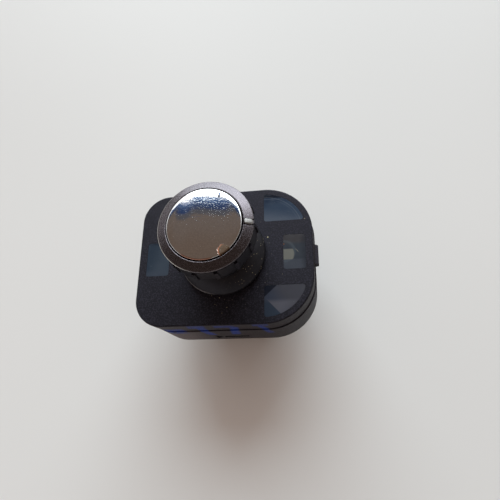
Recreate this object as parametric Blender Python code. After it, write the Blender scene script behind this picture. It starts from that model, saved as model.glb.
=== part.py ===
"""Mirror adjustment switch of a car door: a case with four lit windows and a knob that turns and tilts.

Metres, +Z up. The origin is the middle of the plug socket's rim, on which the switch stands. X runs along
the case, and the pointer of the knob looks towards +X. The knob turns about Z in a carrier, the carrier
tilts about Y in a gimbal ring, and the ring tilts about X in a frame under the cover.
"""

import math

import bmesh
import bpy
from mathutils import Vector

# Clearances: between seated pieces, round a trim piece, and what a tilted piece has left
GAP = 0.0003
TRIM_GAP = 0.00015
TILT_SPARE = 0.00012

# Edges: broken corners, hairline steps, and how far shapes that are joined run into each other
CHAMFER = 0.0003
FINE_EDGE = 0.0001
BITE = 0.0004

# Case
CASE_LENGTH = 0.0420
CASE_WIDTH = 0.0334
RIGHT_CORNER = 0.0114
LEFT_CORNER = 0.0067
LEFT_CORNER_LOW = 0.00785
SHELL_LEFT_CORNER = 0.0088
COVER_DEPTH = 0.0052
COVER_WALL = 0.0012
COVER_PLATE = 0.0018
COVER_EDGE = 0.0003
SHELL_PROUD = 0.00025
SHELL_DRAFT = 0.00025
SHELL_WALL = 0.0018
LIP_WALL = 0.0009
LEDGE_DROP = 0.0010

# Windows in the cover
WINDOW_MARGIN = 0.0020
LEFT_WINDOW_LENGTH = 0.0056
RIGHT_WINDOW_LENGTH = 0.0049
SIDE_WINDOW_WIDTH = 0.0085
SIDE_WINDOW_ROUND = 0.0007
CORNER_WINDOW_MARGIN = 0.0016
CORNER_WINDOW_WIDTH = 0.0070
WINDOW_SKIN = 0.0004

# Side clips and their tongues
CLIP_REACH = 0.00105
CLIP_WIDTH = 0.0048
CLIP_TOP = 0.0006
CLIP_CREST = 0.0020
CLIP_FOOT = 0.0034
CLIP_END = 0.0040
LEFT_CLIP_DROP = 0.0008
RIGHT_CLIP_SHIFT = -0.00045
TONGUE_SLOT = 0.0005

# Plug socket under the case
SOCKET_DROP = 0.0147
SOCKET_LENGTH = 0.0220
SOCKET_WIDTH = 0.0124
SOCKET_WALL = 0.0014
SOCKET_CORNER = 0.0016
KEY_WIDTH = 0.0010
KEY_REACH = 0.0007
KEY_SPACING = 0.0130
KEY_START = 0.0012
CATCH_WIDTH = 0.0052
CATCH_HEIGHT = 0.0024
CATCH_RISE = 0.0060
BASE_PLATE = 0.0013

# Latches between base and shell
LATCH_CENTRE = 0.0010
LATCH_SLOT_WIDTH = 0.0062
LATCH_SLOT_HEIGHT = 0.0012
LATCH_RISE = 0.0034
LATCH_ARM = 0.0008
LATCH_SINK = 0.0006
MARK_LENGTH = 0.0018
MARK_HEIGHT = 0.0036
MARK_DEPTH = 0.0003
MARK_SPACE = 0.0003

# Contact pins
PIN_PITCH = 0.0030
PIN_ROW = 0.0028
PIN_COUNT = 5
PIN_LENGTH = 0.0012
PIN_WIDTH = 0.0006
PIN_RECESS = 0.0045

# Circuit board and what is on it
BOARD_THICKNESS = 0.0012
BOARD_RISE = 0.0013
LED_LENGTH = 0.0022
LED_WIDTH = 0.0016
LED_HEIGHT = 0.0008
RESISTOR_LENGTH = 0.0020
RESISTOR_WIDTH = 0.0012
RESISTOR_HEIGHT = 0.0006
RESISTOR_INSET_LEFT = 0.0075
RESISTOR_INSET_RIGHT = 0.0060
RESISTOR_Y_LEFT = 0.0050
RESISTOR_Y_RIGHT = 0.0058
PILLAR_RADIUS = 0.0012
PILLAR_INSET_LEFT = 0.0060
PILLAR_INSET_RIGHT = 0.0075
PILLAR_INSET_SIDE = 0.0077

# Switch mat
MAT_INNER = 0.0052
MAT_SHEET = 0.0004
DOME_RADIUS = 0.0015
DOME_HEIGHT = 0.00045
MAT_MARGIN = 0.0004

# Light guide
GUIDE_PLATE = 0.0008
PIPE_SIDE = 0.0026
PIPE_CLEARANCE = 0.0004
CORNER_PIPE_OUT_X = 0.0043
CORNER_PIPE_OUT_Y = 0.0049
GUIDE_CLEARANCE = 0.0014

# Tilting parts
TILT = math.radians(3.5)
CORNER_TILT = TILT * math.sqrt(2)
PIVOT_DEPTH = 0.0060
STEM_RADIUS = 0.0050
STEM_TOP = 0.0120
STEM_FILLET = 0.0008
CAVITY_CLEARANCE = 0.0007
HUB_RADIUS = 0.0088
HUB_RISE = 0.0026
HUB_DROP = 0.0014
HUB_WEB = 0.0009
FOOT_RADIUS = 0.0008
TRUNNION_RADIUS = 0.0008
RING_GAP = 0.0006
RING_WALL = 0.0018
RING_HALF_HEIGHT = 0.0016

# Frame that carries the gimbal ring
FRAME_CLEARANCE = 0.0007
FRAME_WALL = 0.0013
FRAME_DROP = 0.0022
FRAME_THICKNESS = 0.0014
BEARING_DEPTH = 0.0017
BEARING_WIDTH = 0.0044
BEARING_ABOVE = 0.0018
POST_ANGLE = math.radians(128.8)
POST_OUT = 0.0012
POST_RADIUS = 0.0020
SCREW_RADIUS = 0.0009
SCREW_HEAD = 0.0016
SCREW_HEAD_HEIGHT = 0.0007
SCREW_REACH = 0.0034
SCREW_TIP = 0.0006
SCREW_SLOT = 0.0004
LEG_RADIUS = 0.0009
LEG_ANGLE = math.radians(-42)

# Skirt and neck over the stem
SKIRT_RADIUS = 0.01015
SKIRT_RIM = 0.00045
SKIRT_WALL = 0.0011
NECK_RADIUS = 0.0072
NECK_TOP = 0.0142

# Knob
GRIP_RADIUS = 0.0100
GRIP_BOTTOM = 0.0121
GRIP_TOP = 0.0162
GRIP_WALL = 0.0014
GRIP_ROOF = 0.0013
HUB_TUBE = 0.0044
HUB_TUBE_DROP = 0.0013
RIB_COUNT = 14
RIB_WIDTH = 0.00095
RIB_REACH = 0.0003
RIB_DROP = 0.0006
NOTCH_WIDTH = 0.0006
NOTCH_DEPTH = 0.0005
BEZEL_RADIUS = 0.01005
BEZEL_EDGE = 0.0003
BEZEL_INNER = 0.0081
BEZEL_RISE = 0.00105
BEZEL_LIP = 0.0002
DISC_RADIUS = 0.00775
DISC_HEIGHT = 0.00155
DISC_CROWN = 0.00012
DISC_EDGE = 0.0002
POINTER_WIDTH = 0.0011
POINTER_START = 0.0083
POINTER_END = 0.0101
POINTER_PROUD = 0.0004
POINTER_SINK = 0.0001
POINTER_EDGE = 0.00012

# Shaft and the joint in its end
SHAFT_RADIUS = 0.0022
SHAFT_SINK = 0.0010
SHAFT_FLAT = 0.0016
COLLAR_RADIUS = 0.0032
COLLAR_THICKNESS = 0.0005
BALL_RADIUS = 0.0022
LUG_RADIUS = 0.00055
LUG_REACH = 0.0036
CLIP_RING_RADIUS = 0.0039
CLIP_RING_THICKNESS = 0.0006
CLIP_GROOVE = 0.0004

# Selector under the joint
CUP_RADIUS = 0.0039
CUP_ABOVE = 0.0004
LUG_SLOT = 0.0017
LUG_SLOT_DROP = 0.0012
CAM_RADIUS = 0.0048
CAM_THICKNESS = 0.0014
NOTCH_SINK = 0.00045
NOTCH_HALF_ANGLE = math.radians(8)
CAM_STEP = math.radians(9)
STOP_REACH = 0.0007
STOP_CLEARANCE = math.radians(1)
JOURNAL_RADIUS = 0.0018
JOURNAL_SEAT = 0.0008
SELECTOR_ANGLES = (-39, 0, 39, 110, 180)
DETENT_ANGLE = math.radians(45)
DETENT_BALL = 0.0009
BARREL_SIDE = 0.0030
BARREL_CLEARANCE = 0.0007
BARREL_RISE = 0.0006
SWING_SPACE = 0.0013
BARREL_BORE = 0.0012
SPRING_WIRE = 0.00014
SPRING_TURNS = 6
WIPER_INNER = 0.0022
WIPER_OUTER = 0.0036
WIPER_SHEET = 0.00025
WIPER_REACH = 0.0046
WIPER_COUNT = 3
WIPER_FINGER = 0.0009

# Heights that follow, from the base up to the cover
CASE_BOTTOM = SOCKET_DROP
BASE_TOP = CASE_BOTTOM + BASE_PLATE
BOARD_BOTTOM = BASE_TOP + BOARD_RISE
BOARD_TOP = BOARD_BOTTOM + BOARD_THICKNESS
MAT_TOP = BOARD_TOP + GAP + MAT_SHEET
CAM_MIDDLE = MAT_TOP + BARREL_RISE + BARREL_SIDE / 2
CAM_TOP = CAM_MIDDLE + CAM_THICKNESS / 2
CAM_BOTTOM = CAM_MIDDLE - CAM_THICKNESS / 2
HUB_BOTTOM = CAM_MIDDLE + BARREL_SIDE / 2 + SWING_SPACE
PIVOT = Vector((0, 0, HUB_BOTTOM + HUB_DROP))
HUB_TOP = PIVOT.z + HUB_RISE
FRAME_Z = PIVOT.z - FRAME_DROP
COVER_TOP = PIVOT.z + PIVOT_DEPTH
PARTING = COVER_TOP - COVER_DEPTH
LENS_TOP = COVER_TOP - WINDOW_SKIN - GAP
GUIDE_TOP = COVER_TOP - COVER_PLATE - GAP
GUIDE_BOTTOM = GUIDE_TOP - GUIDE_PLATE
LED_TOP = BOARD_TOP + GAP + LED_HEIGHT
DOME_TOP = MAT_TOP + DOME_HEIGHT
GRIP_SEAT = COVER_TOP + GRIP_TOP
BEZEL_SEAT = GRIP_SEAT + GAP
LATCH_LOW = CASE_BOTTOM + LATCH_RISE

# Radii and reaches that follow
LIP_INSET = COVER_WALL + GAP
SHELL_INSET = SHELL_WALL - SHELL_PROUD
BASE_INSET = SHELL_INSET + GAP
RING_INNER = HUB_RADIUS + RING_GAP
RING_OUTER = RING_INNER + RING_WALL
BEARING_START = RING_OUTER + GAP
FRAME_INNER = RING_OUTER + FRAME_CLEARANCE
FRAME_OUTER = FRAME_INNER + FRAME_WALL
POST_X = (FRAME_OUTER + POST_OUT) * math.cos(POST_ANGLE)
POST_Y = (FRAME_OUTER + POST_OUT) * math.sin(POST_ANGLE)
BARREL_NOSE = CAM_RADIUS + BARREL_CLEARANCE
BARREL_END = FRAME_INNER + BITE
STOP_RADIUS = BARREL_NOSE + STOP_REACH
FOOT_PLACE = HUB_RADIUS - FOOT_RADIUS - FINE_EDGE
FOOT_BOTTOM = DOME_TOP + (HUB_RADIUS + FOOT_RADIUS) * math.sin(TILT) + 0.5 * TILT_SPARE
MAT_OUTER = FOOT_PLACE + DOME_RADIUS + MAT_MARGIN
SKIRT_LIFT = SKIRT_RADIUS * math.sin(CORNER_TILT) + TILT_SPARE
SLEEVE = STEM_RADIUS + GAP
SHAFT_BORE = SHAFT_RADIUS + GAP
CAVITY_RADIUS = CUP_RADIUS + CAVITY_CLEARANCE
COVER_HOLE = STEM_RADIUS + PIVOT_DEPTH * math.sin(CORNER_TILT) + GAP
GUIDE_HOLE = HUB_RADIUS + GUIDE_CLEARANCE


def metal(name, colour, roughness):
    return finish(name, colour, roughness, 1.0)


def finish(name, colour, roughness, metallic=0.0):
    """A Principled material, made once for each name."""
    material = bpy.data.materials.get(name)
    if material:
        return material
    material = bpy.data.materials.new(name)
    material.use_nodes = True
    material.diffuse_color = (*colour, 1.0)
    shader = material.node_tree.nodes["Principled BSDF"]
    shader.inputs["Base Color"].default_value = (*colour, 1.0)
    shader.inputs["Roughness"].default_value = roughness
    shader.inputs["Metallic"].default_value = metallic
    return material


def arc(centre, radius, start, end, steps):
    """Points along an arc, both ends included; angles in radians."""
    points = []
    for step in range(steps + 1):
        angle = start + (end - start) * step / steps
        points.append((centre[0] + radius * math.cos(angle), centre[1] + radius * math.sin(angle)))
    return points


def rounded(left, right, front, back, left_round, right_round, steps=8):
    """A rectangle with its own corner radius on each side, counter-clockwise."""
    quarter = math.pi / 2
    points = arc((right - right_round, back - right_round), right_round, 0, quarter, steps)
    points += arc((left + left_round, back - left_round), left_round, quarter, 2 * quarter, steps)
    points += arc((left + left_round, front + left_round), left_round, 2 * quarter, 3 * quarter, steps)
    points += arc((right - right_round, front + right_round), right_round, 3 * quarter, 4 * quarter, steps)
    return points


def case_outline(inset, height, left=LEFT_CORNER):
    """The outline of the case, moved inwards, at a height; left is the radius of its left corners."""
    half_length, half_width = CASE_LENGTH / 2 - inset, CASE_WIDTH / 2 - inset
    flat = rounded(
        -half_length, half_length, -half_width, half_width,
        left - inset, RIGHT_CORNER - inset,
    )
    return [Vector((x, y, height)) for x, y in flat]


def flat_outline(inset, left):
    """The same outline in plan only."""
    return [point[:2] for point in case_outline(inset, 0, left)]


def socket_outline(inset, height):
    half_length, half_width = SOCKET_LENGTH / 2 - inset, SOCKET_WIDTH / 2 - inset
    corner = max(SOCKET_CORNER - inset, CHAMFER)
    flat = rounded(-half_length, half_length, -half_width, half_width, corner, corner, steps=3)
    return [Vector((x, y, height)) for x, y in flat]


def side_window(side, grow):
    """The left (-1) or the right (1) window's outline, grown by a margin."""
    length = RIGHT_WINDOW_LENGTH if side > 0 else LEFT_WINDOW_LENGTH
    outer = side * (CASE_LENGTH / 2 - WINDOW_MARGIN + grow)
    inner = side * (CASE_LENGTH / 2 - WINDOW_MARGIN - length - grow)
    half = SIDE_WINDOW_WIDTH / 2 + grow
    corner = SIDE_WINDOW_ROUND + grow
    return rounded(min(outer, inner), max(outer, inner), -half, half, corner, corner, steps=3)


def corner_centre():
    """The centre of the rounding at the back right corner."""
    return CASE_LENGTH / 2 - RIGHT_CORNER, CASE_WIDTH / 2 - RIGHT_CORNER


def corner_window(side, grow):
    """The back (1) or the front (-1) corner window, whose long side follows the case's corner."""
    centre = corner_centre()
    radius = RIGHT_CORNER - CORNER_WINDOW_MARGIN + grow
    left = centre[0] - grow
    low = CASE_WIDTH / 2 - CORNER_WINDOW_MARGIN - CORNER_WINDOW_WIDTH - grow
    start = math.asin((low - centre[1]) / radius)
    end = math.acos((left - centre[0]) / radius)
    points = [(left, low)] + arc(centre, radius, start, end, 12)
    return [(x, side * y) for x, y in points]


def windows(grow):
    return [side_window(-1, grow), side_window(1, grow), corner_window(1, grow), corner_window(-1, grow)]


def slab(points, along):
    """A flat outline pushed along a vector."""

    def add(bm):
        base = bm.faces.new([bm.verts.new(point) for point in points])
        pushed = bmesh.ops.extrude_face_region(bm, geom=[base])["geom"]
        top = [item for item in pushed if isinstance(item, bmesh.types.BMVert)]
        bmesh.ops.translate(bm, verts=top, vec=along)

    return add


def plate(outline, low, high):
    """A flat outline in plan, between two heights."""
    return slab([Vector((x, y, low)) for x, y in outline], Vector((0, 0, high - low)))


def block(low, high):
    """A box between two corners."""
    outline = [(low[0], low[1]), (high[0], low[1]), (high[0], high[1]), (low[0], high[1])]
    return plate(outline, low[2], high[2])


def turned(profile, steps=40, centre=(0, 0)):
    """A closed profile of (radius, height) turned about a vertical axis."""

    def add(bm):
        verts = [bm.verts.new((centre[0] + radius, centre[1], height)) for radius, height in profile]
        edges = [bm.edges.new((verts[i - 1], verts[i])) for i in range(len(verts))]
        bmesh.ops.spin(
            bm, geom=verts + edges, cent=(*centre, 0), axis=(0, 0, 1),
            angle=2 * math.pi, steps=steps, use_merge=True,
        )

    return add


def cylinder(radius, low, high, centre=(0, 0), steps=20):
    """An upright cylinder."""
    return turned([(0, low), (radius, low), (radius, high), (0, high)], steps, centre)


def lofted(rings, ends=True):
    """Rings of points joined in order, with capped ends or closed on themselves."""

    def add(bm):
        loops = [[bm.verts.new(point) for point in ring] for ring in rings]
        pairs = list(zip(loops, loops[1:]))
        if not ends:
            pairs.append((loops[-1], loops[0]))
        for first, second in pairs:
            for i in range(len(first)):
                bm.faces.new((first[i - 1], first[i], second[i], second[i - 1]))
        if ends:
            bm.faces.new(loops[0])
            bm.faces.new(loops[-1])

    return add


def rod(start, end, radius, steps=20):
    """A round bar between two points."""
    start, end = Vector(start), Vector(end)
    turn = (end - start).to_track_quat("Z", "Y")
    circle = arc((0, 0), radius, 0, 2 * math.pi, steps)[:-1]
    return slab([start + turn @ Vector((x, y, 0)) for x, y in circle], end - start)


def ball(centre, radius, steps=16):
    """A sphere, turned from a half circle."""
    half = arc((0, centre[2]), radius, -math.pi / 2, math.pi / 2, steps // 2)
    return turned([(max(r, 0.0), z) for r, z in half], steps, centre[:2])


def coil(start, end, radius, wire, turns, steps=12, sides=6):
    """A helical spring between two points, as one tube."""
    start, end = Vector(start), Vector(end)
    turn = (end - start).to_track_quat("Z", "Y")
    count, rise = turns * steps, (end - start).length
    rings = []
    for i in range(count + 1):
        angle = 2 * math.pi * i / steps
        out = Vector((math.cos(angle), math.sin(angle), 0))
        middle = out * radius + Vector((0, 0, rise * i / count))
        ring = []
        for side in range(sides):
            lean = 2 * math.pi * side / sides
            offset = out * math.cos(lean) + Vector((0, 0, math.sin(lean)))
            ring.append(start + turn @ (middle + offset * wire))
        rings.append(ring)
    return lofted(rings)


def mesh_of(name, shapes):
    bm = bmesh.new()
    for shape in shapes:
        before = set(bm.verts)
        shape(bm)
        fresh = [vert for vert in bm.verts if vert not in before]
        bmesh.ops.remove_doubles(bm, verts=fresh, dist=1e-7)
    bmesh.ops.recalc_face_normals(bm, faces=bm.faces)
    mesh = bpy.data.meshes.new(name)
    bm.to_mesh(mesh)
    bm.free()
    return mesh


def piece(name, material, axis, *shapes):
    """A sub-part; axis is the empty that it moves with, or None."""
    mesh = mesh_of(name, shapes)
    mesh.materials.append(material)
    mesh.shade_smooth()
    mesh.set_sharp_from_angle(angle=math.radians(30))
    made = bpy.data.objects.new(name, mesh)
    bpy.context.collection.objects.link(made)
    if axis:
        made.parent = axis
        made.location = -PIVOT
    return made


def helper(name, shapes):
    made = bpy.data.objects.new(name, mesh_of(name, shapes))
    made.hide_render = True
    made.display_type = "WIRE"
    bpy.context.collection.objects.link(made)
    return made


def combine(target, operation, shapes):
    """Adds to or cuts from a sub-part, with a Boolean that stays on it."""
    count = len(target.modifiers) + 1
    modifier = target.modifiers.new(f"{operation.lower()} {count}", "BOOLEAN")
    modifier.operation = operation
    modifier.solver = "EXACT"
    modifier.object = helper(f"{target.name}.helper_{count}", shapes)


def join(target, *shapes):
    combine(target, "UNION", shapes)


def cut(target, *shapes):
    combine(target, "DIFFERENCE", shapes)


def axis_at(name, location, parent=None):
    empty = bpy.data.objects.new(name, None)
    empty.empty_display_size = STEM_RADIUS
    empty.location = location
    empty.parent = parent
    bpy.context.collection.objects.link(empty)
    return empty


def polar(radius, angle, height):
    return Vector((radius * math.cos(angle), radius * math.sin(angle), height))


def turned_box(low, high, angle):
    """A box in radius, width and height, turned about Z; low and high are (radius, width, height)."""
    out = Vector((math.cos(angle), math.sin(angle), 0))
    side = Vector((-math.sin(angle), math.cos(angle), 0))
    corners = ((low[0], low[1]), (high[0], low[1]), (high[0], high[1]), (low[0], high[1]))
    points = [out * r + side * w + Vector((0, 0, low[2])) for r, w in corners]
    return slab(points, Vector((0, 0, high[2] - low[2])))


def case_plastic():
    return finish("case plastic", (0.018, 0.018, 0.020), 0.55)


def make_cover():
    low = PARTING + GAP / 2
    under = COVER_TOP - COVER_PLATE
    cover = piece(
        "top_cover", case_plastic(), None,
        lofted([
            case_outline(COVER_WALL, under, LEFT_CORNER_LOW),
            case_outline(COVER_WALL, low, LEFT_CORNER_LOW),
            case_outline(0, low, LEFT_CORNER_LOW),
            case_outline(0, COVER_TOP - COVER_EDGE),
            case_outline(COVER_EDGE, COVER_TOP),
        ]),
    )
    posts = [cylinder(POST_RADIUS, FRAME_Z + GAP, under + BITE, place) for place in post_places()]
    join(cover, *posts, *[clip_nose(side) for side in (-1, 1)])
    above = COVER_TOP + COVER_PLATE
    openings = [plate(outline, under - COVER_PLATE, above) for outline in windows(0)]
    cut(cover, *openings, cylinder(COVER_HOLE, under - COVER_PLATE, above, steps=40))
    pockets = [plate(outline, under - BITE, COVER_TOP - WINDOW_SKIN) for outline in windows(GAP)]
    screw_top = FRAME_Z + SCREW_REACH + GAP
    pockets += [cylinder(SCREW_RADIUS + GAP, FRAME_Z - GAP, screw_top, place, 16) for place in post_places()]
    cut(cover, *pockets)
    reach = CLIP_WIDTH / 2 + TONGUE_SLOT
    tongue = [
        block((side * CASE_LENGTH / 2 - 2 * COVER_WALL, y - TONGUE_SLOT / 2, PARTING - GAP),
              (side * CASE_LENGTH / 2 + 2 * COVER_WALL, y + TONGUE_SLOT / 2, under - GAP))
        for side in (-1, 1)
        for y in (clip_middle(side) - reach, clip_middle(side) + reach)
    ]
    cut(cover, *tongue)


def clip_middle(side):
    """Where the left (-1) or right (1) clip stands along Y."""
    return RIGHT_CLIP_SHIFT if side > 0 else 0.0


def clip_nose(side):
    """A wedge on the side wall that snaps behind the door trim; the left one sits lower."""
    wall = CASE_LENGTH / 2
    drop = LEFT_CLIP_DROP if side < 0 else 0.0
    profile = (
        (wall - 0.7 * COVER_WALL, CLIP_TOP),
        (wall, CLIP_TOP),
        (wall + CLIP_REACH, CLIP_CREST),
        (wall + CLIP_REACH, CLIP_FOOT),
        (wall, CLIP_END),
        (wall - 0.7 * COVER_WALL, CLIP_END),
    )
    start = clip_middle(side) - CLIP_WIDTH / 2
    points = [Vector((side * x, start, COVER_TOP - depth - drop)) for x, depth in profile]
    return slab(points, Vector((0, CLIP_WIDTH, 0)))


def latch_box(side, width, inset, depth, low, high):
    """A box at the latch in the front (-1) or back (1) wall; inset and depth are measured from its face."""
    first, second = side * (CASE_WIDTH / 2 - depth), side * (CASE_WIDTH / 2 - inset)
    left, right = LATCH_CENTRE - width / 2, LATCH_CENTRE + width / 2
    return block((left, min(first, second), low), (right, max(first, second), high))


def make_shell():
    low, high = CASE_BOTTOM, PARTING - GAP / 2
    lip_top = GUIDE_BOTTOM - GAP
    inner = LIP_INSET + LIP_WALL
    ledge = high - LEDGE_DROP
    profile = (
        (SHELL_DRAFT - SHELL_PROUD, low), (-SHELL_PROUD, high), (LIP_INSET, high), (LIP_INSET, lip_top),
        (inner, lip_top), (inner, ledge), (SHELL_INSET, ledge - (inner - SHELL_INSET)), (SHELL_INSET, low),
    )
    shell = piece(
        "housing_shell", case_plastic(), None,
        lofted([case_outline(inset, height, SHELL_LEFT_CORNER) for inset, height in profile], ends=False),
    )
    slot_top = LATCH_LOW + LATCH_SLOT_HEIGHT
    slots = [latch_box(side, LATCH_SLOT_WIDTH, -SHELL_PROUD - GAP, 2 * SHELL_INSET, LATCH_LOW, slot_top)
             for side in (-1, 1)]
    relief = CLIP_WIDTH / 2 + 2 * TONGUE_SLOT
    reliefs = [
        block((side * CASE_LENGTH / 2 - 4 * COVER_WALL, clip_middle(side) - relief, high + GAP),
              (side * CASE_LENGTH / 2 + COVER_WALL, clip_middle(side) + relief, COVER_TOP))
        for side in (-1, 1)
    ]
    cut(shell, *slots, *reliefs, arrow_mark((LATCH_LOW + slot_top) / 2))


def arrow_mark(middle):
    """A sunk triangle beside the front latch slot."""
    face = -CASE_WIDTH / 2
    tip = LATCH_CENTRE - LATCH_SLOT_WIDTH / 2 - MARK_SPACE
    left, half = tip - MARK_LENGTH, MARK_HEIGHT / 2
    corners = ((tip, middle), (left, middle + half), (left, middle - half))
    points = [Vector((x, face - SHELL_PROUD - GAP, z)) for x, z in corners]
    return slab(points, Vector((0, SHELL_PROUD + GAP + MARK_DEPTH, 0)))


def pin_places():
    first = -PIN_PITCH * (PIN_COUNT - 1) / 2
    return [(first + column * PIN_PITCH, row * PIN_ROW) for row in (-1, 1) for column in range(PIN_COUNT)]


def pin_box(place, low, high, grow):
    half_length, half_width = PIN_LENGTH / 2 + grow, PIN_WIDTH / 2 + grow
    return block((place[0] - half_length, place[1] - half_width, low),
                 (place[0] + half_length, place[1] + half_width, high))


def pillar_places():
    left, right = PILLAR_INSET_LEFT - CASE_LENGTH / 2, CASE_LENGTH / 2 - PILLAR_INSET_RIGHT
    side = CASE_WIDTH / 2 - PILLAR_INSET_SIDE
    return [(x, y) for x in (left, right) for y in (-side, side)]


def post_places():
    """Where the cover's two posts, the frame's ears and the screws stand."""
    return [(POST_X, -POST_Y), (POST_X, POST_Y)]


def make_base():
    """The bottom plate with the plug socket, its latches, pillars and the selector's bearing."""
    base = piece(
        "connector_base", case_plastic(), None,
        plate(flat_outline(BASE_INSET, SHELL_LEFT_CORNER), CASE_BOTTOM, BASE_TOP),
    )
    inside = CASE_BOTTOM + BASE_PLATE / 2
    socket = lofted([
        socket_outline(0, 0), socket_outline(0, inside),
        socket_outline(SOCKET_WALL, inside), socket_outline(SOCKET_WALL, 0),
    ], ends=False)
    join(base, socket)
    keys = [
        block((x - KEY_WIDTH / 2, -SOCKET_WIDTH / 2 - KEY_REACH, KEY_START),
              (x + KEY_WIDTH / 2, -SOCKET_WIDTH / 2 + SOCKET_WALL / 2, inside))
        for x in (-KEY_SPACING / 2, KEY_SPACING / 2)
    ]
    arms, barbs = [], []
    width = LATCH_SLOT_WIDTH - 2 * GAP
    slot_top = LATCH_LOW + LATCH_SLOT_HEIGHT
    for side in (-1, 1):
        arms.append(latch_box(side, width, BASE_INSET, BASE_INSET + LATCH_ARM, inside, slot_top))
        barbs.append(latch_box(side, width, LATCH_SINK, BASE_INSET + LATCH_ARM / 2,
                               LATCH_LOW + GAP, slot_top - GAP))
    pillars = [cylinder(PILLAR_RADIUS, inside, BOARD_BOTTOM - GAP, place, 12) for place in pillar_places()]
    join(base, *arms, *pillars, *keys)
    join(base, *barbs)
    holes = [pin_box(place, CASE_BOTTOM - BASE_PLATE, BASE_TOP + BASE_PLATE, GAP) for place in pin_places()]
    bearing = cylinder(JOURNAL_RADIUS + GAP, BASE_TOP - JOURNAL_SEAT, BASE_TOP + BASE_PLATE)
    catch = block((-CATCH_WIDTH / 2, SOCKET_WIDTH / 2 - 2 * SOCKET_WALL, CATCH_RISE),
                  (CATCH_WIDTH / 2, SOCKET_WIDTH / 2 + SOCKET_WALL, CATCH_RISE + CATCH_HEIGHT))
    cut(base, *holes, bearing, catch)


def make_pins():
    for number, place in enumerate(pin_places(), 1):
        piece(f"contact_pin_{number:02d}", metal("tinned brass", (0.72, 0.66, 0.50), 0.3), None,
              pin_box(place, PIN_RECESS, BOARD_TOP - GAP, 0))


def pipe_places():
    """Under each window, and just outside the frame."""
    side = FRAME_OUTER + PIPE_CLEARANCE + PIPE_SIDE / 2
    corner_x, corner_y = corner_centre()
    return [
        (-side, 0.0),
        (side, 0.0),
        (corner_x + CORNER_PIPE_OUT_X, corner_y + CORNER_PIPE_OUT_Y),
        (corner_x + CORNER_PIPE_OUT_X, -corner_y - CORNER_PIPE_OUT_Y),
    ]


def make_light_guide():
    """A clear plate under the cover, with a pad in each window and a pipe down to each lamp."""
    guide = piece(
        "light_guide", finish("clear lens", (0.22, 0.28, 0.34), 0.2), None,
        plate(flat_outline(LIP_INSET, LEFT_CORNER_LOW), GUIDE_BOTTOM, GUIDE_TOP),
    )
    half = PIPE_SIDE / 2
    pads = [plate(outline, GUIDE_TOP - GUIDE_PLATE / 2, LENS_TOP) for outline in windows(0)]
    pipes = [block((x - half, y - half, LED_TOP + GAP), (x + half, y + half, GUIDE_TOP - GUIDE_PLATE / 2))
             for x, y in pipe_places()]
    join(guide, *pads)
    join(guide, *pipes)
    low, high = GUIDE_BOTTOM - GAP, GUIDE_TOP + GAP
    holes = [cylinder(POST_RADIUS + GAP, low, high, place) for place in post_places()]
    cut(guide, cylinder(GUIDE_HOLE, low, high, steps=40), *holes)


def make_board():
    board = piece(
        "circuit_board", finish("board green", (0.03, 0.12, 0.06), 0.5), None,
        plate(flat_outline(BASE_INSET, SHELL_LEFT_CORNER), BOARD_BOTTOM, BOARD_TOP),
    )
    low, high = BOARD_BOTTOM - GAP, BOARD_TOP + GAP
    holes = [pin_box(place, low, high, GAP) for place in pin_places()]
    holes += [cylinder(SCREW_RADIUS + GAP, low, high, place) for place in post_places()]
    cut(board, cylinder(JOURNAL_RADIUS + GAP, low, high), *holes)
    cut(board, *[latch_box(side, LATCH_SLOT_WIDTH, -GAP, BASE_INSET + LATCH_ARM + GAP, low, high)
                 for side in (-1, 1)])


def make_board_parts():
    low = BOARD_TOP + GAP
    names = ("left", "right", "back_corner", "front_corner")
    for name, (x, y) in zip(names, pipe_places()):
        lamp = piece(f"led_{name}", finish("lamp", (0.75, 0.70, 0.35), 0.4), None,
                     block((x - LED_LENGTH / 2, y - LED_WIDTH / 2, low),
                           (x + LED_LENGTH / 2, y + LED_WIDTH / 2, low + LED_HEIGHT)))
        cut(lamp, turned([(0, low + LED_HEIGHT / 2), (LED_WIDTH / 4, low + LED_HEIGHT / 2),
                          (LED_WIDTH / 2.6, LED_TOP + GAP), (0, LED_TOP + GAP)], 12, (x, y)))
    left, right = RESISTOR_INSET_LEFT - CASE_LENGTH / 2, CASE_LENGTH / 2 - RESISTOR_INSET_RIGHT
    places = ((left, RESISTOR_Y_LEFT), (left, -RESISTOR_Y_LEFT), (right, RESISTOR_Y_RIGHT))
    for number, (x, y) in enumerate(places, 1):
        piece(f"resistor_{number}", finish("resistor", (0.02, 0.02, 0.025), 0.4), None,
              block((x - RESISTOR_LENGTH / 2, y - RESISTOR_WIDTH / 2, low),
                    (x + RESISTOR_LENGTH / 2, y + RESISTOR_WIDTH / 2, low + RESISTOR_HEIGHT)))


def make_mat():
    """A rubber mat with a dome under each foot of the carrier."""
    low = BOARD_TOP + GAP
    mat = piece(
        "switch_mat", finish("mat rubber", (0.35, 0.35, 0.33), 0.7), None,
        turned([(MAT_INNER, low), (MAT_OUTER, low), (MAT_OUTER, MAT_TOP), (MAT_INNER, MAT_TOP)]),
    )
    domes = []
    for quarter in range(4):
        place = polar(FOOT_PLACE, quarter * math.pi / 2, 0)
        domes.append(turned([(0, MAT_TOP - MAT_SHEET / 2), (DOME_RADIUS, MAT_TOP - MAT_SHEET / 2),
                             (DOME_RADIUS, MAT_TOP), (0.6 * DOME_RADIUS, DOME_TOP), (0, DOME_TOP)],
                            16, place[:2]))
    join(mat, *domes)


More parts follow.
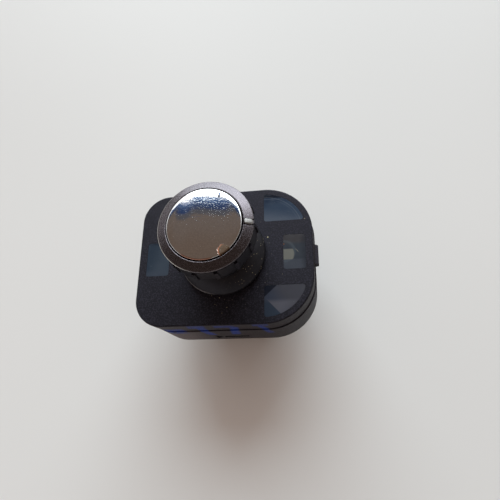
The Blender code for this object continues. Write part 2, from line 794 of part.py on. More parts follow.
def make_frame():
    """The ring with two bearings for the gimbal, two screw ears, legs and the detent's barrel."""
    low = FRAME_Z - FRAME_THICKNESS
    frame = piece(
        "pivot_frame", finish("frame plastic", (0.10, 0.10, 0.10), 0.5), None,
        turned([(FRAME_INNER, low), (FRAME_OUTER, low), (FRAME_OUTER, FRAME_Z), (FRAME_INNER, FRAME_Z)], 48),
    )
    foot = BOARD_TOP + GAP
    sunk = low + FRAME_THICKNESS / 2
    ears = [cylinder(POST_RADIUS, foot, FRAME_Z - TRIM_GAP / 3, place) for place in post_places()]
    leg = polar((FRAME_INNER + FRAME_OUTER) / 2, LEG_ANGLE, 0)
    legs = [cylinder(LEG_RADIUS, foot, sunk, leg[:2], 12)]
    bearings = []
    for side in (-1, 1):
        near, far = side * BEARING_START, side * (BEARING_START + BEARING_DEPTH)
        bearings.append(block((min(near, far), -BEARING_WIDTH / 2, low + TRIM_GAP),
                              (max(near, far), BEARING_WIDTH / 2, PIVOT.z + BEARING_ABOVE)))
    half = BARREL_SIDE / 2
    barrel = turned_box((BARREL_NOSE, -half, CAM_MIDDLE - half), (BARREL_END, half, CAM_MIDDLE + half),
                        DETENT_ANGLE)
    under_barrel = polar(BARREL_END - LEG_RADIUS - GAP, DETENT_ANGLE, 0)
    legs.append(cylinder(LEG_RADIUS, foot, CAM_MIDDLE, under_barrel[:2], 12))
    join(frame, *ears, *bearings, barrel)
    join(frame, *legs)
    reach = BEARING_START + 2 * BEARING_DEPTH
    bores = [rod((-reach, 0, PIVOT.z), (-BEARING_START + GAP, 0, PIVOT.z), TRUNNION_RADIUS + GAP),
             rod((BEARING_START - GAP, 0, PIVOT.z), (reach, 0, PIVOT.z), TRUNNION_RADIUS + GAP),
             rod(polar(BARREL_NOSE - GAP, DETENT_ANGLE, CAM_MIDDLE),
                 polar(BARREL_END - BARREL_BORE, DETENT_ANGLE, CAM_MIDDLE), BARREL_BORE)]
    bores += [cylinder(SCREW_RADIUS + GAP, foot - GAP, FRAME_Z + GAP, place, 16) for place in post_places()]
    cut(frame, *bores)


def make_detent():
    ball_place = CAM_RADIUS + TRIM_GAP + DETENT_BALL
    piece("detent_ball", metal("steel", (0.6, 0.6, 0.6), 0.2), None,
          ball(polar(ball_place, DETENT_ANGLE, CAM_MIDDLE), DETENT_BALL))
    start = ball_place + DETENT_BALL + SPRING_WIRE + TRIM_GAP
    end = BARREL_END - BARREL_BORE - SPRING_WIRE - TRIM_GAP
    piece("detent_spring", metal("steel", (0.6, 0.6, 0.6), 0.2), None,
          coil(polar(start, DETENT_ANGLE, CAM_MIDDLE), polar(end, DETENT_ANGLE, CAM_MIDDLE),
               BARREL_BORE - GAP - SPRING_WIRE, SPRING_WIRE, SPRING_TURNS))


def make_screws():
    head_top = BOARD_BOTTOM - GAP
    head_low = head_top - SCREW_HEAD_HEIGHT
    tip = FRAME_Z + SCREW_REACH
    for name, (x, y) in zip(("front", "back"), post_places()):
        screw = piece(
            f"frame_screw_{name}", metal("screw steel", (0.45, 0.45, 0.42), 0.35), None,
            turned([(0, head_low), (SCREW_HEAD - CHAMFER, head_low),
                    (SCREW_HEAD, head_top - SCREW_HEAD_HEIGHT / 2), (SCREW_HEAD, head_top),
                    (SCREW_RADIUS, head_top), (SCREW_RADIUS, tip - SCREW_TIP), (0, tip)], 16, (x, y)),
        )
        cut(screw, block((x - SCREW_HEAD, y - SCREW_SLOT / 2, head_low - SCREW_HEAD_HEIGHT),
                         (x + SCREW_HEAD, y + SCREW_SLOT / 2, head_top - SCREW_HEAD_HEIGHT / 2)))


def make_gimbal_ring(axis):
    low, high = PIVOT.z - RING_HALF_HEIGHT, PIVOT.z + RING_HALF_HEIGHT
    ring = piece(
        "gimbal_ring", finish("bearing plastic", (0.55, 0.54, 0.50), 0.45), axis,
        turned([(RING_INNER, low), (RING_OUTER, low), (RING_OUTER, high), (RING_INNER, high)]),
    )
    start, end = RING_OUTER - RING_WALL / 3, BEARING_START + BEARING_DEPTH - GAP
    join(ring, *[rod((side * start, 0, PIVOT.z), (side * end, 0, PIVOT.z), TRUNNION_RADIUS)
                 for side in (-1, 1)])
    reach = RING_OUTER + RING_WALL
    cut(ring, rod((0, -reach, PIVOT.z), (0, reach, PIVOT.z), TRUNNION_RADIUS + GAP))


def make_carrier(axis):
    """The hollow stem that tilts, with trunnions in the gimbal ring and four feet over the mat."""
    top = COVER_TOP + STEM_TOP
    roof = HUB_TOP - HUB_WEB
    carrier = piece(
        "stem_carrier", finish("frame plastic", (0.10, 0.10, 0.10), 0.5), axis,
        turned([
            (CAVITY_RADIUS, HUB_BOTTOM), (HUB_RADIUS, HUB_BOTTOM), (HUB_RADIUS, HUB_TOP),
            (STEM_RADIUS + STEM_FILLET, HUB_TOP), (STEM_RADIUS, HUB_TOP + STEM_FILLET), (STEM_RADIUS, top),
            (SHAFT_BORE, top), (SHAFT_BORE, roof), (CAVITY_RADIUS, roof),
        ]),
    )
    start, end = HUB_RADIUS - TRUNNION_RADIUS, RING_OUTER - GAP
    join(carrier, *[rod((0, side * start, PIVOT.z), (0, side * end, PIVOT.z), TRUNNION_RADIUS)
                    for side in (-1, 1)])
    feet = []
    for quarter in range(4):
        place = polar(FOOT_PLACE, quarter * math.pi / 2, 0)
        feet.append(cylinder(FOOT_RADIUS, FOOT_BOTTOM, HUB_BOTTOM + BITE, place[:2], 16))
    join(carrier, *feet)


def sphere_height(radius, at):
    """Height of a sphere about the pivot, over a distance from the axis."""
    return PIVOT.z + math.sqrt(radius ** 2 - at ** 2)


def make_skirt(axis):
    """Neck and domed skirt, whose dome is round about the pivot so that it stays clear when it tilts."""
    low = COVER_TOP + SKIRT_LIFT
    rim_top = low + SKIRT_RIM
    outer = math.hypot(SKIRT_RADIUS, rim_top - PIVOT.z)
    rim_inner = SKIRT_RADIUS - SKIRT_WALL
    inner = math.hypot(rim_inner, low - PIVOT.z)
    steps = 6
    profile = [(rim_inner, low), (SKIRT_RADIUS, low)]
    for step in range(steps + 1):
        at = SKIRT_RADIUS + (NECK_RADIUS - SKIRT_RADIUS) * step / steps
        profile.append((at, sphere_height(outer, at)))
    top = COVER_TOP + NECK_TOP
    profile += [(NECK_RADIUS, top - CHAMFER), (NECK_RADIUS - CHAMFER, top), (SLEEVE, top)]
    for step in range(steps // 2):
        at = SLEEVE + (rim_inner - SLEEVE) * 2 * step / steps
        profile.append((at, sphere_height(inner, at)))
    piece("stem_skirt", finish("skirt plastic", (0.016, 0.016, 0.018), 0.5), axis, turned(profile, 44))


def d_bore(radius, flat, low, high):
    """A round bore with one flat side towards +X."""
    lean = math.acos(flat / radius)
    return plate(arc((0, 0), radius, lean, 2 * math.pi - lean, 20), low, high)


def make_grip(axis):
    low, roof = COVER_TOP + GRIP_BOTTOM, GRIP_SEAT - GRIP_ROOF
    inner, tube_low = GRIP_RADIUS - GRIP_WALL, roof - HUB_TUBE_DROP
    grip = piece(
        "knob_grip", finish("grip rubber", (0.022, 0.022, 0.025), 0.5), axis,
        turned([(0, tube_low), (HUB_TUBE, tube_low), (HUB_TUBE, roof), (inner, roof), (inner, low),
                (GRIP_RADIUS, low), (GRIP_RADIUS, GRIP_SEAT), (0, GRIP_SEAT)], 4 * RIB_COUNT),
    )
    ribs, notches = [], []
    for number in range(RIB_COUNT):
        angle = 2 * math.pi * number / RIB_COUNT
        rib_top = GRIP_SEAT - RIB_DROP
        ribs.append(turned_box((inner + GRIP_WALL / 2, -RIB_WIDTH / 2, low + FINE_EDGE),
                               (GRIP_RADIUS + RIB_REACH, RIB_WIDTH / 2, rib_top), angle))
        notches.append(turned_box((GRIP_RADIUS - NOTCH_DEPTH, -NOTCH_WIDTH / 2, rib_top - FINE_EDGE),
                                  (GRIP_RADIUS + 2 * RIB_REACH, NOTCH_WIDTH / 2, GRIP_SEAT + GAP), angle))
    join(grip, *ribs)
    bore = d_bore(SHAFT_BORE, SHAFT_FLAT + GAP, tube_low - GAP, GRIP_SEAT - SHAFT_SINK + GAP)
    cut(grip, bore, *notches)


def slope_height(radius):
    """Height of the bezel's sloping face."""
    share = (BEZEL_RADIUS - radius) / (BEZEL_RADIUS - BEZEL_INNER)
    return BEZEL_SEAT + BEZEL_EDGE + share * BEZEL_RISE


def make_bezel(axis):
    lip_top = slope_height(BEZEL_INNER + BEZEL_LIP)
    bezel = piece(
        "knob_bezel", finish("bezel paint", (0.045, 0.042, 0.045), 0.35, 0.3), axis,
        turned([
            (BEZEL_INNER, BEZEL_SEAT), (BEZEL_RADIUS - FINE_EDGE, BEZEL_SEAT),
            (BEZEL_RADIUS, BEZEL_SEAT + FINE_EDGE), (BEZEL_RADIUS, BEZEL_SEAT + BEZEL_EDGE),
            (BEZEL_INNER + BEZEL_LIP, lip_top), (BEZEL_INNER, lip_top - BEZEL_LIP),
        ], 4 * RIB_COUNT),
    )
    half = POINTER_WIDTH / 2 + TRIM_GAP
    cut(bezel, block((POINTER_START - BITE, -half, BEZEL_SEAT + BEZEL_EDGE - POINTER_SINK),
                     (POINTER_END + BITE, half, BEZEL_SEAT + 2 * BEZEL_RISE)))


def make_disc(axis):
    low, high = BEZEL_SEAT, BEZEL_SEAT + DISC_HEIGHT
    flat, shoulder = DISC_RADIUS - DISC_EDGE, high - DISC_EDGE
    profile = [(0, low), (flat, low), (DISC_RADIUS, low + DISC_EDGE)]
    profile += arc((flat, shoulder), DISC_EDGE, 0, math.pi / 2, 2)
    for share in (0.7, 0.4, 0):
        profile.append((share * DISC_RADIUS, high + DISC_CROWN * (1 - share ** 2)))
    piece("knob_disc", metal("chrome", (0.75, 0.74, 0.73), 0.08), axis, turned(profile, 56))


def pill(inset):
    """The pointer's outline: square at its inner end, round at the outer."""
    half, start = POINTER_WIDTH / 2 - inset, POINTER_START + inset
    nose = arc((POINTER_END - POINTER_WIDTH / 2, 0), half, -math.pi / 2, math.pi / 2, 8)
    return [(start, half), (start, -half)] + nose


def make_pointer(axis):
    """A pill that stands a little proud of the bezel's slope, from its inner edge to its outer edge."""
    low = BEZEL_SEAT + BEZEL_EDGE - POINTER_SINK + TRIM_GAP
    outer, inner = pill(0), pill(POINTER_EDGE)
    rings = [
        [Vector((x, y, low)) for x, y in outer],
        [Vector((x, y, slope_height(x) + POINTER_PROUD - POINTER_EDGE)) for x, y in outer],
        [Vector((x, y, slope_height(x) + POINTER_PROUD)) for x, y in inner],
    ]
    piece("knob_pointer", metal("pointer silver", (0.82, 0.82, 0.80), 0.3), axis, lofted(rings))


def make_shaft(axis):
    """The shaft, with a collar under the stem and a ball with two lugs at the pivot."""
    top = GRIP_SEAT - SHAFT_SINK
    collar_top = HUB_TOP - HUB_WEB - GAP
    collar_low = collar_top - COLLAR_THICKNESS
    lean = math.asin(min(1.0, (collar_low - PIVOT.z) / BALL_RADIUS))
    profile = [(max(r, 0.0), z) for r, z in arc((0, PIVOT.z), BALL_RADIUS, -math.pi / 2, lean, 8)]
    groove_low = COVER_TOP + STEM_TOP + GAP / 2
    groove_high = groove_low + CLIP_RING_THICKNESS + GAP
    neck = SHAFT_RADIUS - CLIP_GROOVE
    profile += [
        (COLLAR_RADIUS, collar_low), (COLLAR_RADIUS, collar_top), (SHAFT_RADIUS, collar_top),
        (SHAFT_RADIUS, groove_low), (neck, groove_low), (neck, groove_high), (SHAFT_RADIUS, groove_high),
        (SHAFT_RADIUS, top - CHAMFER), (SHAFT_RADIUS - CHAMFER, top), (0, top),
    ]
    shaft = piece("knob_shaft", finish("shaft plastic", (0.50, 0.50, 0.47), 0.4), axis, turned(profile, 24))
    join(shaft, rod((-LUG_REACH, 0, PIVOT.z), (LUG_REACH, 0, PIVOT.z), LUG_RADIUS, 12))
    flat_low = groove_high + GAP
    cut(shaft, block((SHAFT_FLAT, -SHAFT_RADIUS, flat_low), (2 * SHAFT_RADIUS, SHAFT_RADIUS, top + GAP)))


def make_shaft_clip(axis):
    """An open ring in the shaft's groove, on top of the stem."""
    low = COVER_TOP + STEM_TOP + GAP
    high = low + CLIP_RING_THICKNESS
    inner, outer = SHAFT_RADIUS - CLIP_GROOVE + TRIM_GAP, CLIP_RING_RADIUS
    clip = piece("shaft_clip", metal("spring steel", (0.35, 0.35, 0.36), 0.3), axis,
                 turned([(inner, low), (outer, low), (outer, high), (inner, high)], 28))
    cut(clip, block((0, -0.6 * inner, low - GAP), (2 * outer, 0.6 * inner, high + GAP)))


def cam_outline():
    """The cam's edge: a notch for each position of the knob, and a wide stop for the rest of the turn."""
    first, last = math.radians(min(SELECTOR_ANGLES)), math.radians(max(SELECTOR_ANGLES))
    blocked = math.asin(BARREL_SIDE / 2 / BARREL_NOSE)
    half_stop = math.pi - (last - first) / 2 - blocked - STOP_CLEARANCE
    stop_middle = DETENT_ANGLE - (first + last) / 2 + math.pi
    points = arc((0, 0), STOP_RADIUS, stop_middle - half_stop, stop_middle + half_stop, 14)
    start, end = stop_middle + half_stop, stop_middle - half_stop + 2 * math.pi
    notches = sorted((DETENT_ANGLE - math.radians(angle) - start) % (2 * math.pi)
                     for angle in SELECTOR_ANGLES)
    edge = [0.0]
    for notch in notches:
        gap = notch - NOTCH_HALF_ANGLE - edge[-1]
        between = max(1, round(gap / CAM_STEP))
        edge += [edge[-1] + gap * (i + 1) / between for i in range(between)]
        edge += [notch, notch + NOTCH_HALF_ANGLE]
    edge.append(end - start)
    for turn in edge:
        sunk = any(abs(turn - notch) < 1e-9 for notch in notches)
        radius = CAM_RADIUS - NOTCH_SINK if sunk else CAM_RADIUS
        points.append((radius * math.cos(start + turn), radius * math.sin(start + turn)))
    return points


def make_selector(axis):
    """The rotor under the joint: a slotted cup, a notched cam with a stop, and a journal in the base."""
    seat = BASE_TOP - JOURNAL_SEAT + GAP
    cup_top = PIVOT.z + CUP_ABOVE
    bore = BALL_RADIUS + GAP
    floor = PIVOT.z - BALL_RADIUS - GAP
    rotor = piece(
        "selector_rotor", finish("rotor plastic", (0.45, 0.10, 0.05), 0.45), axis,
        turned([(0, seat), (JOURNAL_RADIUS, seat), (JOURNAL_RADIUS, CAM_MIDDLE), (CUP_RADIUS, CAM_MIDDLE),
                (CUP_RADIUS, cup_top), (bore, cup_top), (bore, floor), (0, floor)], 32),
    )
    join(rotor, plate(cam_outline(), CAM_BOTTOM, CAM_TOP))
    reach = 2 * CUP_RADIUS
    slot_floor = PIVOT.z - LUG_SLOT_DROP
    cut(rotor, block((-reach, -LUG_SLOT / 2, slot_floor), (reach, LUG_SLOT / 2, cup_top + GAP)))


def make_wiper(axis):
    """A sprung ring under the rotor, whose fingers brush the board."""
    top = CAM_BOTTOM - GAP
    low = top - WIPER_SHEET
    ring = [(WIPER_INNER, low), (WIPER_OUTER, low), (WIPER_OUTER, top), (WIPER_INNER, top)]
    wiper = piece("wiper_contact", metal("contact bronze", (0.65, 0.38, 0.18), 0.3), axis, turned(ring, 32))
    fingers = []
    for number in range(WIPER_COUNT):
        angle = 2 * math.pi * (number + 0.5) / WIPER_COUNT
        out = Vector((math.cos(angle), math.sin(angle), 0))
        across = Vector((-math.sin(angle), math.cos(angle), 0)) * WIPER_FINGER
        sheet = Vector((0, 0, WIPER_SHEET))
        inner = out * (WIPER_OUTER - 2 * WIPER_SHEET) + Vector((0, 0, low)) + sheet * 0.3
        outer = out * WIPER_REACH + Vector((0, 0, BOARD_TOP + GAP))
        corners = [inner, outer, outer + sheet, inner + sheet * 0.9]
        fingers.append(slab([corner - across / 2 for corner in corners], across))
    join(wiper, *fingers)


def main():
    for old in list(bpy.data.objects):
        bpy.data.objects.remove(old, do_unlink=True)
    ring_axis = axis_at("tilt_front_back_axis", PIVOT)
    carrier_axis = axis_at("tilt_left_right_axis", (0, 0, 0), ring_axis)
    knob_axis = axis_at("knob_turn_axis", (0, 0, 0), carrier_axis)
    rotor_axis = axis_at("selector_turn_axis", PIVOT)
    make_cover()
    make_shell()
    make_base()
    make_pins()
    make_light_guide()
    make_board()
    make_board_parts()
    make_mat()
    make_frame()
    make_detent()
    make_screws()
    make_gimbal_ring(ring_axis)
    make_carrier(carrier_axis)
    make_skirt(carrier_axis)
    make_grip(knob_axis)
    make_bezel(knob_axis)
    make_disc(knob_axis)
    make_pointer(knob_axis)
    make_shaft(knob_axis)
    make_shaft_clip(knob_axis)
    make_selector(rotor_axis)
    make_wiper(rotor_axis)


main()
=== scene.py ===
"""Looks of the mirror adjustment switch: its detailed pieces, their finishes and the studio."""

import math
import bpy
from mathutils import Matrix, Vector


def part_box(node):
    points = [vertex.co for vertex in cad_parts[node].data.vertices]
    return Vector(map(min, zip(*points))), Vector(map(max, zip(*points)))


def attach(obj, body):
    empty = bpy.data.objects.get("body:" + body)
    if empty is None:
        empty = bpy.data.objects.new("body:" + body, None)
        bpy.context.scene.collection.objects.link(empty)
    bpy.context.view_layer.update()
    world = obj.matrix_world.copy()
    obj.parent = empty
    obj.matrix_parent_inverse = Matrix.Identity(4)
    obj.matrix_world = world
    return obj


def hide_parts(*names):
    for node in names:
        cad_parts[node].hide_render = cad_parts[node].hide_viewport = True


bl_info = {
    "name": "Mirror Switch",
    "version": (1, 0, 0),
    "blender": (4, 5, 0),
    "location": "View3D > Sidebar > Mirror Switch",
    "description": "Detailed pieces and finishes for the mirror adjustment switch",
    "category": "Object",
}

import bmesh
import bpy
from mathutils import Matrix, Vector

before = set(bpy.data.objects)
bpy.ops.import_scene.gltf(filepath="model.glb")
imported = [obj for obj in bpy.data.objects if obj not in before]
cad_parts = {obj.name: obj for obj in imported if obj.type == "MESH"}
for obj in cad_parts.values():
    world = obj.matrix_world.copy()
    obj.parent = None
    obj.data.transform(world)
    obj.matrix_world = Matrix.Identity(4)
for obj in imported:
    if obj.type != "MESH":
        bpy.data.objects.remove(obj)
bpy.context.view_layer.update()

MM = 0.001
TINY = 1e-6
QUARTER = math.pi / 2
ARC_STEP = 0.35 * MM
CORNER_STEPS = 28
RING_STEPS = 192
WIDE_STEPS = 96

# What the frame gives: each node's lowest and highest corner
COVER_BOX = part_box("top_cover")
SHELL_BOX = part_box("housing_shell")
GUIDE_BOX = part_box("light_guide")
SKIRT_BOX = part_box("stem_skirt")
GRIP_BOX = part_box("knob_grip")
BEZEL_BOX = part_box("knob_bezel")
DISC_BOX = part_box("knob_disc")
POINTER_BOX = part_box("knob_pointer")

# Small steps that the case's pieces share
SEAM = 0.3 * MM
SHELL_PROUD = 0.25 * MM
LEFT_SHIFT = -0.2 * MM
RIGHT_CLIP_SHIFT = -0.45 * MM
HALF_LENGTH = SHELL_BOX[1].x - SHELL_PROUD
HALF_WIDTH = COVER_BOX[1].y
COVER_TOP = COVER_BOX[1].z
CASE_BOTTOM = SHELL_BOX[0].z

LED_NAMES = ("led_left", "led_right", "led_back_corner", "led_front_corner")
PIN_NAMES = [f"contact_pin_{number:02d}" for number in range(1, 11)]


def length_of(label, words, millimetres):
    return bpy.props.FloatProperty(
        name=label, description=words, default=millimetres * MM, unit="LENGTH", precision=5
    )


def colour_of(label, words, default):
    return bpy.props.FloatVectorProperty(
        name=label, description=words, default=default, size=3, subtype="COLOR", min=0.0, max=1.0
    )


class SwitchSizes(bpy.types.PropertyGroup):
    """Sizes of the switch that its detailed pieces are made from."""

    right_corner: length_of("Right corners", "Radius of the case's right corners", 11.4)
    left_corner: length_of("Left corners", "Radius of the cover's left corners at its top", 6.7)
    left_low: length_of("Left corners, low", "Radius of the cover's left corners at its low edge", 7.85)
    shell_left: length_of("Left corners, shell", "Radius of the shell's left corners", 8.8)
    cover_depth: length_of("Cover depth", "Height of the cover's side walls", 5.2)
    cover_plate: length_of("Cover plate", "Thickness of the cover's top", 1.8)
    cover_wall: length_of("Cover wall", "Thickness of the cover's side walls", 1.2)
    cover_hole: length_of("Cover hole", "Radius of the hole for the stem", 5.8)
    edge_round: length_of("Edge rounding", "Rounding of the cover's top edge", 0.35)
    shell_wall: length_of("Shell wall", "Thickness of the shell's walls", 1.8)
    lip_wall: length_of("Lip wall", "Thickness of the shell's lip inside the cover", 0.9)
    left_margin: length_of("Left window margin", "Border between the left window and the edge", 2.0)
    right_margin: length_of("Right window margin", "Border between the right window and the edge", 1.75)
    left_window: length_of("Left window", "Length of the left window", 5.6)
    right_window: length_of("Right window", "Length of the right window", 5.15)
    window_width: length_of("Window width", "Width of the two end windows", 8.5)
    window_round: length_of("Window corners", "Corner radius of the windows", 0.6)
    corner_margin: length_of("Corner margin", "Border outside a corner window", 1.5)
    corner_width: length_of("Corner window width", "Width of a corner window", 7.25)
    window_skin: length_of("Window rim", "Thickness of the cover round a window", 0.4)
    clip_width: length_of("Clip width", "Width of the snap clips", 4.8)
    latch_middle: length_of("Latch middle", "Place of the latch slots along the case", 1.0)
    latch_width: length_of("Latch width", "Width of the latch slots", 6.2)
    latch_height: length_of("Latch height", "Height of the latch slots", 1.2)
    latch_rise: length_of("Latch rise", "Height of the slots over the case's foot", 3.4)
    socket_length: length_of("Socket length", "Length of the plug socket", 22.0)
    socket_width: length_of("Socket width", "Width of the plug socket", 12.4)
    socket_wall: length_of("Socket wall", "Thickness of the plug socket's wall", 1.4)
    neck_radius: length_of("Neck radius", "Radius of the skirt's neck", 7.2)
    sleeve_radius: length_of("Sleeve radius", "Radius of the skirt's bore", 5.3)
    grip_radius: length_of("Grip radius", "Radius of the grip between its ribs", 10.0)
    grip_wall: length_of("Grip wall", "Thickness of the grip's wall", 1.4)
    rib_height: length_of("Rib gap", "Distance from the ribs' tops to the grip's top", 0.6)
    disc_edge: length_of("Disc edge", "Rounding of the chrome disc's edge", 0.22)
    bezel_inner: length_of("Bezel bore", "Inner radius of the bezel", 8.02)
    rib_count: bpy.props.IntProperty(
        name="Ribs", description="Ribs round the grip", default=14, min=6, max=40
    )


class SwitchColours(bpy.types.PropertyGroup):
    """Base colours of the visible finishes."""

    case: colour_of("Case", "Black plastic of the case", (0.0050, 0.0050, 0.0064))
    dust: colour_of("Dust", "Pale dust in the grain and on the edges", (0.20, 0.185, 0.165))
    ink: colour_of("Ink", "Blue marker smudges on the front wall", (0.008, 0.034, 0.215))
    lens: colour_of("Windows", "Smoked clear plastic over the dark inside", (0.022, 0.034, 0.052))
    grip: colour_of("Grip", "Black plastic of the ribbed grip", (0.0064, 0.0057, 0.0088))
    bezel: colour_of("Bezel", "Dark metallic paint of the bezel", (0.104, 0.091, 0.098))
    chrome: colour_of("Chrome", "Bright chrome of the disc", (0.80, 0.79, 0.78))
    chip: colour_of("Chip", "Plastic laid bare by the chip in the disc's edge", (0.108, 0.069, 0.040))
    copper: colour_of("Copper", "Copper layer at the chip and the disc's worn edge", (0.62, 0.20, 0.08))
    pointer: colour_of("Pointer", "Silver of the pointer", (0.31, 0.30, 0.29))
    floor: colour_of("Floor", "Pale table top", (0.70, 0.70, 0.69))


def sizes():
    return bpy.context.scene.switch_sizes


def colours():
    return bpy.context.scene.switch_colours


def joins(operation, swapped=False):
    """A method of a Flow that adds the Math node of this operation."""
    def method(self, other=0.0):
        return self.maths(operation, other, self) if swapped else self.maths(operation, self, other)

    return method


class Flow:
    """A value in a node tree that takes part in arithmetic; each operator adds its Math node."""

    def __init__(self, finish, socket):
        self.finish = finish
        self.socket = socket

    def maths(self, operation, first, second):
        return self.finish.node("ShaderNodeMath", {"operation": operation}, {0: first, 1: second})

    __add__ = __radd__ = joins("ADD")
    __sub__ = joins("SUBTRACT")
    __rsub__ = joins("SUBTRACT", swapped=True)
    __mul__ = joins("MULTIPLY")
    __truediv__ = joins("DIVIDE")
    __pow__ = joins("POWER")
    __lt__ = joins("LESS_THAN")
    __abs__ = joins("ABSOLUTE")


class Nodes:
    """A node tree with plain names for the nodes that the finishes use; places are in millimetres."""

    def __init__(self, tree):
        self.tree = tree

    def node(self, kind, settings=None, values=None, out=0):
        """Adds a node: its settings first, then the values or links of its sockets."""
        made = self.tree.nodes.new(kind)
        for key, value in (settings or {}).items():
            setattr(made, key, value)
        for key, value in (values or {}).items():
            if isinstance(value, Flow):
                self.tree.links.new(value.socket, made.inputs[key])
            else:
                made.inputs[key].default_value = value
        return Flow(self, made.outputs[out])

    def place(self, source="Object"):
        """The vector that patterns follow, in millimetres."""
        raw = self.node("ShaderNodeTexCoord", out=source)
        factor = 1 / MM if source == "Object" else 1.0
        self.spot = self.node("ShaderNodeVectorMath", {"operation": "SCALE"}, {0: raw, "Scale": factor})
        split = self.node("ShaderNodeSeparateXYZ", {}, {0: self.spot})
        outputs = split.socket.node.outputs
        self.x, self.y, self.z = (Flow(self, outputs[axis]) for axis in range(3))

    def noise(self, size, detail=2.0, roughness=0.5, stretch=(1, 1, 1), shift=(0, 0, 0)):
        """Noise from 0 to 1 whose features are about this many millimetres."""
        where = self.node("ShaderNodeMapping", {}, {0: self.spot, "Scale": stretch, "Location": shift})
        values = {"Vector": where, "Scale": 1 / size, "Detail": detail, "Roughness": roughness}
        return self.node("ShaderNodeTexNoise", {}, values)

    def specks(self, spacing, radius, share, shift=(0, 0, 0)):
        """Small round specks, in this share of the cells of a random lattice."""
        where = self.node("ShaderNodeMapping", {}, {0: self.spot, "Location": shift})
        cell = self.node("ShaderNodeTexVoronoi", {}, {"Vector": where, "Scale": 1 / spacing})
        outputs = cell.socket.node.outputs
        chance = self.node("ShaderNodeSeparateColor", {}, {0: Flow(self, outputs["Color"])})
        near = self.ramp(Flow(self, outputs["Distance"]), radius / spacing, 0.6 * radius / spacing)
        return near * (chance < share)

    def ramp(self, value, low, high):
        """0 at low, 1 at high, and smooth between; low may be the larger."""
        values = {"Value": value, "From Min": low, "From Max": high}
        return self.node("ShaderNodeMapRange", {"interpolation_type": "SMOOTHSTEP"}, values)

    def mix(self, factor, first, second):
        """The first colour where the factor is 0, and the second where it is 1."""
        colour = [value if isinstance(value, Flow) else (*value, 1.0) for value in (first, second)]
        values = {0: factor, 6: colour[0], 7: colour[1]}
        return self.node("ShaderNodeMix", {"data_type": "RGBA"}, values, out=2)

    def layers(self, colour, *coats):
        """A colour under coats, each of them a factor and the colour that it brings."""
        for factor, coat in coats:
            colour = self.mix(factor, colour, coat)
        return colour

    def bump(self, height, depth):
        """A bump from a height of 0 to 1, this many millimetres deep."""
        return self.node("ShaderNodeBump", {}, {"Height": height, "Distance": depth * MM})

    def within(self, value, low, high, soft):
        """1 between two limits, with soft ends."""
        return self.ramp(value, low - soft, low + soft) * self.ramp(value, high + soft, high - soft)

    def beside(self, x, y, along_x, along_y, soft=0.15):
        """1 on the left of a line in plan that runs through a place in a direction."""
        away = ((self.y - y) * along_x - (self.x - x) * along_y) / math.hypot(along_x, along_y)
        return self.ramp(away, -soft, soft)

    def stroke(self, start, end, width, soft=0.03):
        """1 on a line in plan between two places."""
        run_x, run_y = end[0] - start[0], end[1] - start[1]
        away_x, away_y = self.x - start[0], self.y - start[1]
        reach = {"Value": away_x * run_x + away_y * run_y, "From Max": run_x ** 2 + run_y ** 2}
        share = self.node("ShaderNodeMapRange", {}, reach)
        away = ((away_x - share * run_x) ** 2 + (away_y - share * run_y) ** 2) ** 0.5
        return self.ramp(away, width / 2 + soft, width / 2)

    def away(self, x=0.0, y=0.0):
        """The distance in plan from a place."""
        return ((self.x - x) ** 2 + (self.y - y) ** 2) ** 0.5

    def near(self, x, y, radius, soft=0.1):
        """1 in a circle about a place in plan."""
        return self.ramp(self.away(x, y), radius + soft, radius - soft)


class Finish(Nodes):
    """A Principled material whose patterns follow Object coordinates."""

    def __init__(self, name, colour, roughness, metallic=0.0, **settings):
        self.material = bpy.data.materials.new(name)
        self.material.use_nodes = True
        super().__init__(self.material.node_tree)
        self.shader = self.tree.nodes["Principled BSDF"]
        self.set("Base Color", (*colour, 1.0))
        self.set("Roughness", roughness)
        self.set("Metallic", metallic)
        for socket, value in settings.items():
            self.set(socket.replace("_", " "), value)
        self.place()

    def set(self, socket, value):
        if isinstance(value, Flow):
            self.tree.links.new(value.socket, self.shader.inputs[socket])
        else:
            self.shader.inputs[socket].default_value = value

    def surface(self, colour, roughness, height, depth):
        """Sets the colour, the roughness and a bump this many millimetres deep."""
        self.set("Base Color", colour)
        self.set("Roughness", roughness)
        self.set("Normal", self.bump(height, depth))

    def on(self, thing):
        """Puts the material on an object."""
        thing.data.materials.clear()
        thing.data.materials.append(self.material)


def once(make):
    """Each material is made once, and shared by the pieces that have it."""
    made = {}

    def get():
        if make not in made:
            made[make] = make()
        return made[make]

    return get


def select_whole():
    bpy.ops.mesh.select_all(action="SELECT")


def begin(name, add, **settings):
    """Adds a primitive with its place in its mesh and opens it for editing, all of it selected."""
    bpy.ops.object.select_all(action="DESELECT")
    add(**settings)
    made = bpy.context.object
    made.name = made.data.name = name
    bpy.ops.object.transform_apply(location=True, rotation=True, scale=True)
    bpy.ops.object.mode_set(mode="EDIT")
    select_whole()
    return made


def pick(test, kind="FACE"):
    """Selects the faces, edges or points for which the test holds."""
    bpy.ops.mesh.select_mode(type=kind)
    bpy.ops.mesh.select_all(action="DESELECT")
    mesh = bmesh.from_edit_mesh(bpy.context.object.data)
    for item in {"VERT": mesh.verts, "EDGE": mesh.edges, "FACE": mesh.faces}[kind]:
        if test(item):
            item.select_set(True)
    mesh.select_flush_mode()
    bmesh.update_edit_mesh(bpy.context.object.data)


def flat_at(height):
    """A test for what lies flat at a height."""
    return lambda item: all(abs(vert.co.z - height) < TINY for vert in item.verts)


def upright(edge):
    """A test for edges that run along Z."""
    first, second = edge.verts
    return (first.co.xy - second.co.xy).length < TINY


def push(z, x=0.0, y=0.0):
    """Extrudes what is selected."""
    bpy.ops.mesh.extrude_region_move(TRANSFORM_OT_translate={"value": (x, y, z)})


